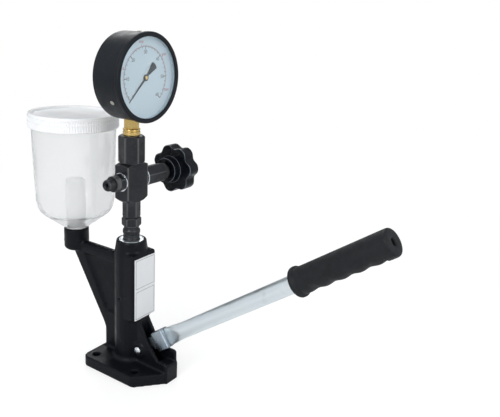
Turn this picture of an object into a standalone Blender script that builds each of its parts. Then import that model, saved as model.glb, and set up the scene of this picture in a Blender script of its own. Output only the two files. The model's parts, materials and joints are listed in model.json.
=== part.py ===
"""Diesel injector tester: a hand pump in a cast stand, with a fuel tank, a shut-off valve and a gauge.

Lengths are in metres. The origin lies on the underside of the base, under the pump's axis.
+X is the way the hand lever points and the gauge faces, +Y is the side of the star knob, +Z is up.
Everything that is screwed together above the stand shares the pump's axis, x = 0 and y = 0.
"""

import bmesh
import bpy
from math import acos, asin, cos, hypot, pi, radians, sin, tan
from mathutils import Matrix, Vector

MM = 0.001

# Fits and ways of cutting
GAP = 0.3 * MM                    # between two pieces that touch or rest on each other
RUNNING = 0.1 * MM                # radial play of a shaft in its hole
OVERRUN = 6 * MM                  # how far a cutter runs past the face that it opens
TURNED_EDGE = 0.8 * MM            # chamfer on a turned edge
ROUND_STEPS = 20                  # facets round a main turned shape
SMALL_STEPS = 12                  # facets round a small turned shape
DIAL_STEPS = 40                   # facets round the gauge
TANK_STEPS = 32                   # facets round the tank
TOOL_SPIN = radians(6.3)          # keeps a cutter's facets off the edges of what it cuts
ARC_STEPS = 3                     # points on a rounded corner of an outline

# Base plate
BASE_THICKNESS = 14 * MM
BASE_REAR_X = -44 * MM
BASE_SIDE_END_X = 40 * MM         # where the long sides turn in to the nose
BASE_HALF_WIDTH = 42 * MM
BASE_CORNER_RADIUS = 7 * MM
BASE_SHOULDER_RADIUS = 9 * MM
NOSE_FRONT_X = 67.5 * MM
NOSE_TOP_Z = 26 * MM
NOSE_CORNER_RADIUS = 2 * MM
NOSE_FALL = 3 * MM                # how far the near ear's top drops at its front corner
BASE_HOLE_RADIUS = 4.5 * MM
BASE_HOLE_INSET_Y = 12.5 * MM     # of each bolt hole from the base's side
BASE_HOLE_INSET_REAR = 12 * MM
BASE_HOLE_INSET_FRONT = 7 * MM
BASE_HOLE_REAR_X = BASE_REAR_X + BASE_HOLE_INSET_REAR
BASE_HOLE_FRONT_X = BASE_SIDE_END_X - BASE_HOLE_INSET_FRONT
BASE_HOLE_Y = BASE_HALF_WIDTH - BASE_HOLE_INSET_Y

# Pump housing
BODY_RADIUS = 21 * MM
COLLAR_TOP_Z = 169.5 * MM
COLLAR_TOP_RADIUS = 18.2 * MM
COLLAR_HEIGHT = 19.5 * MM
COLLAR_FOOT_Z = COLLAR_TOP_Z - COLLAR_HEIGHT
FOOT_FILLET = 5 * MM
DRAIN_RADIUS = 1.5 * MM
DRAIN_X = -1 * MM
DRAIN_Z = 96 * MM

# Front block that carries the label plate
FRONT_PROUD = 0.7 * MM            # of the block's face over the round housing
FRONT_X = BODY_RADIUS + FRONT_PROUD
FRONT_REAR_X = -6 * MM
FRONT_HALF_WIDTH = 20.2 * MM
FRONT_BOTTOM_Z = 70 * MM
FRONT_DROP = 13.5 * MM            # of the block's top below the collar's
FRONT_TOP_Z = COLLAR_TOP_Z - FRONT_DROP
FRONT_EDGE = 2.5 * MM

# Lever ears and their slot
SLOT_HALF_WIDTH = 6 * MM
EAR_WALL = 4.5 * MM
EAR_OUTER_Y = SLOT_HALF_WIDTH + EAR_WALL
SLOT_REAR_X = -13 * MM
SLOT_ROOF_Z = 48 * MM
EAR_TOP_Z = 69 * MM
EAR_TOP_X = BODY_RADIUS
EAR_KNEE_X = 35 * MM
EAR_KNEE_Z = 46 * MM
EAR_TOE_X = 51.5 * MM
SLOT_FRONT_Z = 24 * MM            # floor of the slot across the nose
GUIDE_REAR_X = 38 * MM            # high cheek on the far side of the slot
GUIDE_RISE = 12 * MM
GUIDE_TOP_Z = NOSE_TOP_Z + GUIDE_RISE
GUIDE_RADIUS = 5 * MM
PIVOT_X = 23 * MM
PIVOT_Z = 31.5 * MM
PIVOT_PIN_RADIUS = 4 * MM
BOSS_WALL = 5.5 * MM
BOSS_RADIUS = PIVOT_PIN_RADIUS + BOSS_WALL
BOSS_PROUD = 2.5 * MM
BOSS_OUTER_Y = EAR_OUTER_Y + BOSS_PROUD
PIVOT_HEAD_LIP = 0.8 * MM
PIVOT_HEAD_RADIUS = PIVOT_PIN_RADIUS + PIVOT_HEAD_LIP
PIVOT_HEAD_HEIGHT = 2.6 * MM
PIVOT_NUT_FLATS = 13 * MM
PIVOT_NUT_HEIGHT = 4.5 * MM

# Tank arm. It and the tank hang from the height of the fuel passage below the collar's top.
TANK_X = -97 * MM
BAR_RADIUS = 6 * MM
BAR_DROP = 28.5 * MM
BAR_Z = COLLAR_TOP_Z - BAR_DROP
HOLDER_RADIUS = 16 * MM
HOLDER_RISE = 20.5 * MM           # of the holder's top over the passage
HOLDER_DROP = 8 * MM              # of the holder's foot and of the pocket below the passage
HOLDER_TOP_Z = BAR_Z + HOLDER_RISE
HOLDER_BOTTOM_Z = BAR_Z - HOLDER_DROP
HOLDER_EDGE = 3 * MM
RIB_HALF_WIDTH = 6.5 * MM
RIB_OUTER_INSET = 1 * MM          # from the tank's axis
RIB_TOP_OUTER_X = TANK_X + RIB_OUTER_INSET
RIB_KNEE_X = -41.6 * MM
RIB_KNEE_Z = 46 * MM
RIB_FOOT_X = -39.5 * MM
RIB_FOOT_Z = 40 * MM
POCKET_DEPTH = 3.4 * MM
POCKET_TOP_INSET = 20 * MM        # from the tank's axis
POCKET_TOP_Z = HOLDER_BOTTOM_Z
POCKET_TOP_X = TANK_X + POCKET_TOP_INSET
POCKET_FOOT_X = -38 * MM
POCKET_FOOT_Z = 64 * MM
POCKET_FRONT_INSET = 1 * MM       # from the round housing
POCKET_FRONT_X = -BODY_RADIUS - POCKET_FRONT_INSET
PASSAGE_RADIUS = 2 * MM
PLUG_RADIUS = 5 * MM
PLUG_SHANK_RADIUS = 3.5 * MM
PLUG_LENGTH = 8 * MM
PLUG_PROUD = 4 * MM
PLUG_SEAT_DEPTH = 1 * MM

# Pump element inside the housing. The barrel hangs from the collar's top.
TAPPET_RADIUS = 9 * MM
TAPPET_BORE_FOOT_Z = 24 * MM
TAPPET_FLOOR = 11 * MM
TAPPET_HEIGHT = 24 * MM
TAPPET_WALL = 1.5 * MM
PLUNGER_RADIUS = 4 * MM
PLUNGER_FOOT_RADIUS = 5 * MM
PLUNGER_FOOT_HEIGHT = 3 * MM
BARREL_DEPTH = 19.5 * MM          # of the barrel's top below the collar's
BARREL_FLANGE_LENGTH = 38 * MM
BARREL_SHANK_LENGTH = 12 * MM
BARREL_TOP_Z = COLLAR_TOP_Z - BARREL_DEPTH
BARREL_SEAT_Z = BARREL_TOP_Z - BARREL_FLANGE_LENGTH
BARREL_BOTTOM_Z = BARREL_SEAT_Z - BARREL_SHANK_LENGTH
BARREL_STEP = 2 * MM
BARREL_FLANGE_RADIUS = TAPPET_RADIUS + BARREL_STEP
PLUNGER_DROP = 11.5 * MM          # of the plunger's end below the barrel's top, at rest
PLUNGER_TOP_Z = BARREL_TOP_Z - PLUNGER_DROP
PORT_RADIUS = 1.2 * MM
SPRING_MEAN_RADIUS = 6.4 * MM
SPRING_WIRE_RADIUS = 0.75 * MM
SPRING_TURNS = 7
SPRING_TURN_POINTS = 8
VALVE_SEAT_HEIGHT = 8 * MM
VALVE_SEAT_RADIUS = 8.5 * MM
VALVE_GUIDE_RADIUS = 3 * MM
VALVE_HEAD_LIP = 0.8 * MM
VALVE_HEAD_RADIUS = VALVE_GUIDE_RADIUS + VALVE_HEAD_LIP
VALVE_HEAD_HEIGHT = 3 * MM
VALVE_FLUTES = 4
VALVE_FLUTE_RADIUS = 1.4 * MM
VALVE_SPRING_RADIUS = 2.6 * MM
VALVE_SPRING_WIRE_RADIUS = 0.4 * MM
VALVE_SPRING_TURNS = 4
SPRING_CHAMBER_RADIUS = 5 * MM

# Gland ring and delivery stem
RING_HEIGHT = 4 * MM
STEM_THREAD_RADIUS = 9.9 * MM
RING_WIDTH = 5.1 * MM
RING_RADIUS = STEM_THREAD_RADIUS + RING_WIDTH
STEM_BEAD_RADIUS = 10.5 * MM
STEM_NECK_RADIUS = 9.2 * MM
STEM_SPIGOT_RADIUS = 8 * MM
STEM_BORE_RADIUS = 2 * MM
STEM_THREAD_PROUD = 6.5 * MM
STEM_BEAD_HEIGHT = 6.5 * MM
STEM_NECK_HEIGHT = 3.8 * MM
STEM_FOOT_Z = BARREL_TOP_Z + VALVE_SEAT_HEIGHT + 2 * GAP
STEM_THREAD_TOP_Z = COLLAR_TOP_Z + STEM_THREAD_PROUD
STEM_BEAD_TOP_Z = STEM_THREAD_TOP_Z + STEM_BEAD_HEIGHT
STEM_NECK_TOP_Z = STEM_BEAD_TOP_Z + STEM_NECK_HEIGHT
CHAMBER_HEIGHT = 11.4 * MM
CHAMBER_TOP_Z = STEM_FOOT_Z + CHAMBER_HEIGHT
UNION_NUT_FLATS = 20.5 * MM
UNION_NUT_HEIGHT = 10.3 * MM
UNION_NUT_CHAMFER = 1.4 * MM
HEX_TURN = radians(-16)           # angle of one corner of each hexagon on the stem, from +X

# Shut-off valve block
VALVE_HEX_FLATS = 18.8 * MM
VALVE_HEX_LENGTH = 19.8 * MM
VALVE_HEIGHT = 46 * MM
VALVE_HEX_BOTTOM_Z = STEM_NECK_TOP_Z + UNION_NUT_HEIGHT + 2 * GAP
VALVE_BOTTOM_Z = VALVE_HEX_BOTTOM_Z + VALVE_HEX_LENGTH
VALVE_TOP_Z = VALVE_BOTTOM_Z + VALVE_HEIGHT
STEM_SPIGOT_DEPTH = 5.5 * MM      # of the stem in the block
STEM_TOP_Z = VALVE_HEX_BOTTOM_Z + STEM_SPIGOT_DEPTH
VALVE_WIDTH_X = 21.4 * MM
VALVE_WIDTH_Y = 33.8 * MM
VALVE_TURNED_RADIUS = 15.2 * MM   # where the turned chamfers start
VALVE_CHAMFER_FALL = 1.8 * MM
VALVE_KNEE_RISE = 1.6 * MM        # of the underside at that radius
VALVE_CONE_RISE = 5.2 * MM
CROSS_HEIGHT = 26 * MM
CROSS_Z = VALVE_BOTTOM_Z + CROSS_HEIGHT  # height of the outlet and the needle
PIPE_BORE_RADIUS = 2 * MM
CHAMBER_RADIUS = 5 * MM           # space round the needle
NEEDLE_SEAT_Y = 5 * MM
NEEDLE_SEAT_RADIUS = 1.6 * MM
GAUGE_PORT_Y = 6.4 * MM
GAUGE_PORT_RADIUS = 1.2 * MM

# Outlet side
SEAL_THICKNESS = 1.4 * MM
SHANK_LENGTH = 9 * MM
OUTLET_SHANK_RADIUS = 6 * MM
SEAL_BORE_RADIUS = OUTLET_SHANK_RADIUS + GAP + RUNNING
OUTLET_SEAL_WIDTH = 4.5 * MM
OUTLET_HEX_FLATS = 19 * MM
OUTLET_HEX_LENGTH = 7 * MM
OUTLET_STEP_RADIUS = 9.4 * MM
OUTLET_STEP_LENGTH = 6 * MM
NIPPLE_RADIUS = 6.8 * MM
NIPPLE_LENGTH = 9 * MM
NIPPLE_CHAMFER = 1.2 * MM
OUTLET_BORE_RADIUS = 2.2 * MM
SHANK_THREAD_RADIUS = 5 * MM      # of the nipple's inner end

# Needle, its gland and the star knob
GLAND_SEAL_WIDTH = 6 * MM
GLAND_HEX_FLATS = 21.8 * MM
GLAND_HEX_LENGTH = 31 * MM
GLAND_HEX_TURN = radians(15)      # angle of one corner from +X toward +Z
GLAND_NUT_WALL = 1.7 * MM
GLAND_NUT_LENGTH = 8 * MM
GLAND_NUT_FLOOR = 2 * MM
GLAND_THREAD_RADIUS = 8 * MM
GLAND_NUT_RADIUS = GLAND_THREAD_RADIUS + GAP + GLAND_NUT_WALL
GLAND_HEX_START_Y = VALVE_WIDTH_Y / 2 + GAP + SEAL_THICKNESS + GAP
GLAND_NUT_START_Y = GLAND_HEX_START_Y + GLAND_HEX_LENGTH + GAP
PACKING_LENGTH = 5 * MM
PACKING_RADIUS = 6.4 * MM
SPINDLE_RADIUS = 4 * MM
NEEDLE_TIP_RADIUS = 1.2 * MM
NEEDLE_TIP_LENGTH = 5 * MM
NEEDLE_END_DEPTH = 5.3 * MM       # from the knob's outer face to the spindle's end
KNOB_STANDOFF = 2.8 * MM
KNOB_HUB_LENGTH = 6 * MM
KNOB_RISER_LENGTH = 6 * MM
KNOB_THICKNESS = 18 * MM
KNOB_HUB_START_Y = GLAND_NUT_START_Y + GLAND_NUT_LENGTH + KNOB_STANDOFF
KNOB_RISER_Y = KNOB_HUB_START_Y + KNOB_HUB_LENGTH
KNOB_DISC_Y = KNOB_RISER_Y + KNOB_RISER_LENGTH
KNOB_END_Y = KNOB_DISC_Y + KNOB_THICKNESS
KNOB_HUB_RADIUS = 15.5 * MM
KNOB_RISER_RADIUS = 17.5 * MM
KNOB_TIP_RADIUS = 30.5 * MM
KNOB_LOBES = 7
KNOB_TURN = radians(5.3)          # angle of one lobe from +X toward +Z
KNOB_WAIST_SHARE = 0.845          # radius between two lobes as a share of the tip radius
KNOB_LOBE_POINTS = 6
KNOB_EDGE = 2.5 * MM
KNOB_CAP_RADIUS = 7 * MM
KNOB_CAP_HEIGHT = 1.2 * MM
KNOB_RECESS_RADIUS = 12 * MM
KNOB_RECESS_DEPTH = 3 * MM

# Gauge adapter and brass socket
ADAPTER_FLATS = 27 * MM
ADAPTER_LENGTH = 32.7 * MM
ADAPTER_TOP_Z = VALVE_TOP_Z + GAP + ADAPTER_LENGTH
ADAPTER_CHAMFER = 2 * MM
ADAPTER_SPIGOT_RADIUS = 8 * MM
ADAPTER_SPIGOT_LENGTH = 8 * MM
SOCKET_WIDTH = 12.5 * MM
SOCKET_ROUND_RADIUS = 10.1 * MM
SOCKET_ROUND_HEIGHT = 8 * MM
SOCKET_GROOVE_DEPTH = 0.9 * MM
SOCKET_GROOVE_RADIUS = SOCKET_ROUND_RADIUS - SOCKET_GROOVE_DEPTH
SOCKET_GROOVE_RISE = 5.6 * MM     # of the groove's middle over the adapter
SOCKET_GROOVE_Z = ADAPTER_TOP_Z + SOCKET_GROOVE_RISE
SOCKET_GROOVE_HEIGHT = 1.4 * MM
SOCKET_THREAD_RADIUS = 6.4 * MM
SOCKET_THREAD_LENGTH = 12 * MM
SOCKET_SQUARE_LENGTH = 27 * MM
SOCKET_END_WALL = 5 * MM
SOCKET_ROUND_TOP_Z = ADAPTER_TOP_Z + SOCKET_ROUND_HEIGHT
SOCKET_TOP_Z = SOCKET_ROUND_TOP_Z + SOCKET_SQUARE_LENGTH
SOCKET_BORE_TOP_Z = SOCKET_TOP_Z - SOCKET_END_WALL

# Gauge. Its depth follows from the movement inside it, and its height from the socket.
CASE_RADIUS = 49 * MM
CASE_WALL = 1.5 * MM
CASE_EDGE = 2 * MM
CASE_RISE = 10 * MM               # of the case over the socket's round part
GAUGE_Z = SOCKET_ROUND_TOP_Z + CASE_RISE + CASE_RADIUS
GAUGE_REAR_X = -11.3 * MM
BEZEL_LENGTH = 8 * MM
BEZEL_WALL = 0.7 * MM
BEZEL_LIP = 1.6 * MM
BEZEL_LIP_WIDTH = 5.4 * MM
GAUGE_RADIUS = CASE_RADIUS + GAP + BEZEL_WALL
BEZEL_OPENING_RADIUS = GAUGE_RADIUS - BEZEL_LIP_WIDTH
GLASS_RADIUS = CASE_RADIUS - GAP
GLASS_THICKNESS = 2 * MM
DIAL_PLAY = 1 * MM
DIAL_RADIUS = CASE_RADIUS - CASE_WALL - DIAL_PLAY
DIAL_THICKNESS = 0.8 * MM
DIAL_HOLE_RADIUS = 2.5 * MM
SPACER_WALL = 1.2 * MM            # of the ring between the dial and the glass
CASE_SCREW_SETBACK = 15.3 * MM    # from the bezel's face
CASE_SCREW_ANGLE = radians(-0.8)  # of the first screw, from +Z toward +Y
CASE_SCREW_RADIUS = 2.6 * MM
CASE_SCREW_HEIGHT = 1 * MM
CASE_SCREW_SHANK_RADIUS = 1.4 * MM
CASE_SCREW_SHANK_LENGTH = 3.4 * MM
CASE_SCREWS = 3
ZERO_ANGLE = radians(134)         # the pointer's rest, measured anticlockwise from straight up
POINTER_REACH_INSET = 9.5 * MM    # of the pointer's tip from the dial's edge
POINTER_LENGTH = DIAL_RADIUS - POINTER_REACH_INSET
POINTER_TAIL_LENGTH = 19 * MM
POINTER_TAIL_HALF_WIDTH = 4.5 * MM
POINTER_HALF_WIDTH = 1.1 * MM
POINTER_TIP_HALF_WIDTH = 0.3 * MM
POINTER_HUB_RADIUS = 3.4 * MM
POINTER_WAIST = 4 * MM            # how far from the hub the tail's fan begins
POINTER_THICKNESS = 0.5 * MM
POINTER_RISE = 0.8 * MM           # over the dial
POINTER_CAP_RADIUS = 4 * MM
POINTER_CAP_HEIGHT = 1 * MM

# Gauge movement
ARBOR_RADIUS = 1 * MM
PINION_RADIUS = 2.4 * MM
PINION_TEETH = 8
TOOTH_DEPTH = 0.5 * MM
BOURDON_BAND = 4 * MM
BOURDON_WIDTH = 10 * MM
BOURDON_PLAY = 9.5 * MM           # between the tube's arc and the case's wall
BOURDON_MID_RADIUS = CASE_RADIUS - CASE_WALL - BOURDON_PLAY - BOURDON_BAND / 2
BOURDON_START = -acos((SOCKET_WIDTH / 2 + 2 * GAP) / (BOURDON_MID_RADIUS - BOURDON_BAND / 2))
BOURDON_SPAN = radians(250)       # the start is beside the socket, from +Y toward +Z
BOURDON_STEPS = 20
PLATE_THICKNESS = 1 * MM
PLATE_CLEARANCE = 0.5 * MM        # between the tube and the rear plate
PLATE_SPACING = 8.5 * MM
REAR_PLATE_X = BOURDON_WIDTH / 2 + PLATE_CLEARANCE
FRONT_PLATE_X = REAR_PLATE_X + PLATE_SPACING
PLATE_HALF_WIDTH = 7 * MM
PLATE_RISE = 11 * MM              # over the gauge's middle
PLATE_TOP_Z = GAUGE_Z + PLATE_RISE
PILLAR_RADIUS = 1.6 * MM
PILLAR_INSET = 3 * MM
PILLAR_Z = PLATE_TOP_Z - PILLAR_INSET
FRAME_FOOT_REAR_X = -5 * MM
FRAME_FOOT_HEIGHT = 3 * MM
SECTOR_PIVOT_RISE = 13 * MM       # over the socket
SECTOR_PIVOT_Z = SOCKET_TOP_Z + SECTOR_PIVOT_RISE
SECTOR_PIN_RADIUS = 0.9 * MM
SECTOR_THICKNESS = 1.6 * MM
SECTOR_SETBACK = 3.7 * MM         # from the rear plate's rear face
SECTOR_REAR_X = REAR_PLATE_X + SECTOR_SETBACK
SECTOR_HALF_ANGLE = radians(24)
SECTOR_TOOTH_ANGLE = radians(3)
SECTOR_HUB_RADIUS = 2.4 * MM
SECTOR_TAIL_LENGTH = 7 * MM
POINTER_SWEEP = radians(270)
LINK_THICKNESS = 1 * MM
LINK_CLEARANCE = 0.9 * MM         # before the rear plate
LINK_REAR_X = REAR_PLATE_X + PLATE_THICKNESS + LINK_CLEARANCE
LINK_WIDTH = 3 * MM
LINK_PIN_RADIUS = 1.2 * MM
LINK_PIN_INSET = 2 * MM           # of the stud from the tube's tip

# What the gauge's face is stacked from, in front of the movement
DIAL_POST_LENGTH = 4 * MM
DIAL_X = FRONT_PLATE_X + PLATE_THICKNESS + DIAL_POST_LENGTH
POINTER_REAR_X = DIAL_X + DIAL_THICKNESS + POINTER_RISE
WINDOW_DEPTH = 3.3 * MM           # from the dial to the case's mouth
CASE_MOUTH_X = DIAL_X + DIAL_THICKNESS + WINDOW_DEPTH
GAUGE_FRONT_X = CASE_MOUTH_X + GAP + GLASS_THICKNESS + GAP + BEZEL_LIP
CASE_SCREW_X = GAUGE_FRONT_X - CASE_SCREW_SETBACK

# Fuel tank
TANK_TOP_RADIUS = 52 * MM
TANK_TAPER = 3 * MM               # in radius, from the top to the knee
TANK_KNEE_RADIUS = TANK_TOP_RADIUS - TANK_TAPER
TANK_KNEE_WIDTH = 5.5 * MM
TANK_SHOULDER_RADIUS = TANK_KNEE_RADIUS - TANK_KNEE_WIDTH
TANK_CONE_HEIGHT = 25.5 * MM      # from the holder to the shoulder
TANK_KNEE_HEIGHT = 12 * MM
TANK_SIDE_HEIGHT = 105 * MM
TANK_SHOULDER_Z = HOLDER_TOP_Z + TANK_CONE_HEIGHT  # where the rounded knee runs into the cone
TANK_KNEE_Z = TANK_SHOULDER_Z + TANK_KNEE_HEIGHT
TANK_TOP_Z = TANK_KNEE_Z + TANK_SIDE_HEIGHT
KNEE_SHARES = (0.35, 0.7, 1.0)    # of the quarter turn between the cup's side and its cone
TANK_WALL = 2 * MM
TANK_FLOOR = 3 * MM
TANK_NECK_INSET = 0.5 * MM
TANK_NECK_RADIUS = HOLDER_RADIUS - TANK_NECK_INSET
TANK_SPIGOT_RADIUS = 10 * MM
TANK_SPIGOT_LENGTH = 12 * MM
TANK_SEAL_INSET = 1.5 * MM
TANK_SEAL_RADIUS = HOLDER_RADIUS - TANK_SEAL_INSET
TANK_SEAL_HEIGHT = 1.2 * MM
TANK_OUTLET_RADIUS = 3 * MM
FILTER_RADIUS = 12 * MM
FILTER_WALL = 1.2 * MM
FILTER_RISE = 27 * MM             # over the tank's knee
FILTER_TOP_Z = TANK_KNEE_Z + FILTER_RISE
FILTER_HOLE_RADIUS = 2.5 * MM
FILTER_HOLE_DEPTH = 8 * MM        # of the hole below the filter's top
LID_WALL = 2 * MM
LID_PLAY = 1.3 * MM
LID_RADIUS = TANK_TOP_RADIUS + LID_PLAY + LID_WALL
LID_SKIRT = 10.5 * MM             # how far the lid reaches down the cup
LID_BOTTOM_Z = TANK_TOP_Z - LID_SKIRT
LID_CROWN = 7 * MM
LID_TOP_Z = TANK_TOP_Z + LID_CROWN
LID_RIM_WIDTH = 5 * MM
LID_RECESS_DEPTH = 3 * MM

# Label plate
LABEL_MARGIN_Y = 2.3 * MM
LABEL_MARGIN_FOOT = 2.5 * MM
LABEL_MARGIN_TOP = 4.5 * MM
LABEL_HALF_WIDTH = FRONT_HALF_WIDTH - LABEL_MARGIN_Y
LABEL_BOTTOM_Z = FRONT_BOTTOM_Z + LABEL_MARGIN_FOOT
LABEL_TOP_Z = FRONT_TOP_Z - LABEL_MARGIN_TOP
LABEL_THICKNESS = 0.7 * MM
LABEL_CORNER = 1 * MM

# Hand lever
LEVER_ANGLE = radians(35.7)       # above level, at rest
NOSE_REST_ANGLE = radians(10)     # the nose starts this far below level and ends as far above it
NOSE_TIP_RADIUS = 5 * MM
NOSE_POINTS = 10
NOSE_NECK_LENGTH = 11 * MM        # the low part of the nose that stays under the tappet
NOSE_NECK_HEIGHT = 3 * MM         # of its upper side over the line from tip to pivot
TONGUE_PLAY = 0.5 * MM
TONGUE_HALF_WIDTH = SLOT_HALF_WIDTH - TONGUE_PLAY
TONGUE_HALF_HEIGHT = 8 * MM
FLAT_HALF_WIDTH = 3.2 * MM        # the tube's pressed end
FLAT_HALF_HEIGHT = 11 * MM
FLAT_POWER = 5                    # how square the pressed end's section is; 2 is an ellipse
HEAD_START = 28 * MM              # distances along the lever, from the pivot
HEAD_LENGTH = 18.5 * MM
HEAD_FLOOR = 8 * MM               # below the tube's pressed end
FLAT_PROUD = 2.5 * MM             # of the pressed end over the head
HEAD_END = HEAD_START + HEAD_LENGTH
HEAD_NEAR_Y = -9 * MM
HEAD_WALL = 0.9 * MM
HEAD_HALF_HEIGHT = FLAT_HALF_HEIGHT + GAP + HEAD_WALL
HEAD_EDGE = 2 * MM
FLAT_START = HEAD_START + HEAD_FLOOR
FLAT_END = HEAD_END + FLAT_PROUD
TUBE_FLARE_LENGTH = 29 * MM
TUBE_ROUND_START = FLAT_END + TUBE_FLARE_LENGTH
TUBE_RADIUS = 9.6 * MM
TUBE_WALL = 1.6 * MM
TUBE_SIDES = 16
TUBE_FLARE_STEPS = 5
GRIP_END = 367 * MM
GRIP_LENGTH = 116 * MM
GRIP_START = GRIP_END - GRIP_LENGTH
GRIP_END_ROUND = 3 * MM
GRIP_END_WALL = 4 * MM
GRIP_END_SPACE = 11 * MM          # inside the grip past the tube's end
TUBE_END = GRIP_END - GRIP_END_WALL - GRIP_END_SPACE
GRIP_WALL = 4.7 * MM
GRIP_RADIUS = TUBE_RADIUS + GRIP_WALL
GRIP_FLANGE_LIP = 2.1 * MM
GRIP_FLANGE_RADIUS = GRIP_RADIUS + GRIP_FLANGE_LIP
GRIP_FLANGE_LENGTH = 5 * MM
GRIP_WAVE = 1.3 * MM
GRIP_WAVES = 5
GRIP_WAVE_POINTS = 4
GRIP_END_HOLE_RADIUS = 3.5 * MM

X_AXIS = Vector((1, 0, 0))
Y_AXIS = Vector((0, 1, 0))
Z_AXIS = Vector((0, 0, 1))

for old in list(bpy.data.objects):
    bpy.data.objects.remove(old)

parts = bpy.data.collections.new("diesel_injector_tester")
cutters = bpy.data.collections.new("cutters")
bpy.context.scene.collection.children.link(parts)
bpy.context.scene.collection.children.link(cutters)


def material(name, colour, roughness, metallic=0.0, alpha=1.0):
    """A Principled material with one colour."""
    made = bpy.data.materials.new(name)
    made.use_nodes = True
    shader = made.node_tree.nodes["Principled BSDF"]
    shader.inputs["Base Color"].default_value = (*colour, 1)
    shader.inputs["Roughness"].default_value = roughness
    shader.inputs["Metallic"].default_value = metallic
    shader.inputs["Alpha"].default_value = alpha
    return made


ENAMEL = material("black_enamel", (0.012, 0.012, 0.014), 0.38)
BLACKED = material("blacked_steel", (0.030, 0.030, 0.034), 0.36, 0.7)
ZINC = material("zinc_plate", (0.62, 0.64, 0.66), 0.3, 1.0)
GROUND = material("ground_steel", (0.5, 0.5, 0.52), 0.22, 1.0)
SPRING_STEEL = material("spring_steel", (0.2, 0.2, 0.22), 0.35, 1.0)
BRASS = material("brass", (0.66, 0.45, 0.16), 0.3, 1.0)
BRONZE = material("phosphor_bronze", (0.55, 0.33, 0.17), 0.35, 1.0)
CASE_BLACK = material("satin_black_case", (0.02, 0.021, 0.025), 0.45)
DIAL_WHITE = material("dial_enamel", (0.66, 0.75, 0.82), 0.5)
DIAL_BLACK = material("pointer_black", (0.015, 0.015, 0.015), 0.5)
GLASS = material("window_glass", (0.9, 0.95, 1.0), 0.03, 0.0, 0.25)
CLEAR = material("clear_plastic", (0.86, 0.88, 0.9), 0.18, 0.0, 0.35)
FILTER_WHITE = material("filter_plastic", (0.8, 0.81, 0.8), 0.5)
BAKELITE = material("knob_plastic", (0.014, 0.015, 0.016), 0.32)
RUBBER = material("grip_rubber", (0.016, 0.016, 0.017), 0.62)
SEAL = material("seal_rubber", (0.02, 0.02, 0.02), 0.7)
LABEL = material("label_plate", (0.72, 0.73, 0.74), 0.4)


def place(obj, mat, smooth=True):
    """Puts a finished piece in the part's collection, with its material and shading."""
    parts.objects.link(obj)
    obj.data.materials.clear()
    obj.data.materials.append(mat)
    if smooth:
        obj.data.shade_smooth()
        obj.data.set_sharp_from_angle(angle=radians(35))
    return obj


def helper(obj):
    """Marks a solid as a cutter or a guide, which isn't part of the object."""
    cutters.objects.link(obj)
    obj.hide_render = True
    obj.display_type = "WIRE"
    return obj


def turn_to(obj, axis, origin=(0, 0, 0)):
    """Stands a piece that was made along local Z on a world axis, from an origin."""
    obj.matrix_world = Matrix.Translation(origin) @ Z_AXIS.rotation_difference(axis).to_matrix().to_4x4()
    return obj


def turned(name, profile, steps=ROUND_STEPS):
    """A turned shape about local Z. The profile's (radius, z) points run down its outer side."""
    mesh = bpy.data.meshes.new(name)
    edges = [(i, i + 1) for i in range(len(profile) - 1)]
    if profile[0][0] > 0:
        edges.append((len(profile) - 1, 0))
    mesh.from_pydata([(r, 0, z) for r, z in profile], edges, [])
    obj = bpy.data.objects.new(name, mesh)
    screw = obj.modifiers.new("turn", "SCREW")
    screw.axis = "Z"
    screw.steps = steps
    screw.render_steps = steps
    screw.use_merge_vertices = True
    screw.merge_threshold = GAP / 100
    screw.use_smooth_shade = True
    return obj


def rod(name, radius, low, high, steps=ROUND_STEPS):
    """A plain round bar about local Z."""
    return turned(name, [(0, high), (radius, high), (radius, low), (0, low)], steps)


def sleeve(name, outer, inner, low, high, steps=ROUND_STEPS):
    """A plain round tube about local Z."""
    return turned(name, [(outer, high), (outer, low), (inner, low), (inner, high)], steps)


def rounded(corners):
    """An outline of (u, v, radius) corners, each turned into an arc of its radius."""
    outline = []
    count = len(corners)
    for i, (u, v, radius) in enumerate(corners):
        here = Vector((u, v))
        before = (Vector(corners[i - 1][:2]) - here).normalized()
        after = (Vector(corners[(i + 1) % count][:2]) - here).normalized()
        if radius == 0:
            outline.append((u, v))
            continue
        half = before.angle(after) / 2
        middle = here + (before + after).normalized() * (radius / sin(half))
        start = (here + before * (radius / tan(half)) - middle).normalized()
        end = (here + after * (radius / tan(half)) - middle).normalized()
        for k in range(ARC_STEPS + 1):
            outline.append(tuple(middle + start.slerp(end, k / ARC_STEPS) * radius))
    return outline


def slab(name, outline, thickness, axis=Z_AXIS, middle=(0, 0, 0)):
    """A flat outline given half its thickness each way, square to an axis.

    Along Z the outline is (x, y), along X it is (y, z), and along Y it is (x, z).
    """
    curve = bpy.data.curves.new(name, "CURVE")
    curve.dimensions = "2D"
    curve.fill_mode = "BOTH"
    curve.extrude = thickness / 2
    spline = curve.splines.new("POLY")
    spline.points.add(len(outline) - 1)
    for point, (u, v) in zip(spline.points, outline):
        point.co = (u, v, 0, 1)
    spline.use_cyclic_u = True
    guide = bpy.data.objects.new(name, curve)
    if axis == X_AXIS:
        turn = Matrix(((0, 0, 1), (1, 0, 0), (0, 1, 0)))
    elif axis == Y_AXIS:
        turn = Matrix(((1, 0, 0), (0, 0, -1), (0, 1, 0)))
    else:
        turn = Matrix.Identity(3)
    guide.matrix_world = Matrix.Translation(middle) @ turn.to_4x4()
    return as_mesh(guide)


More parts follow.
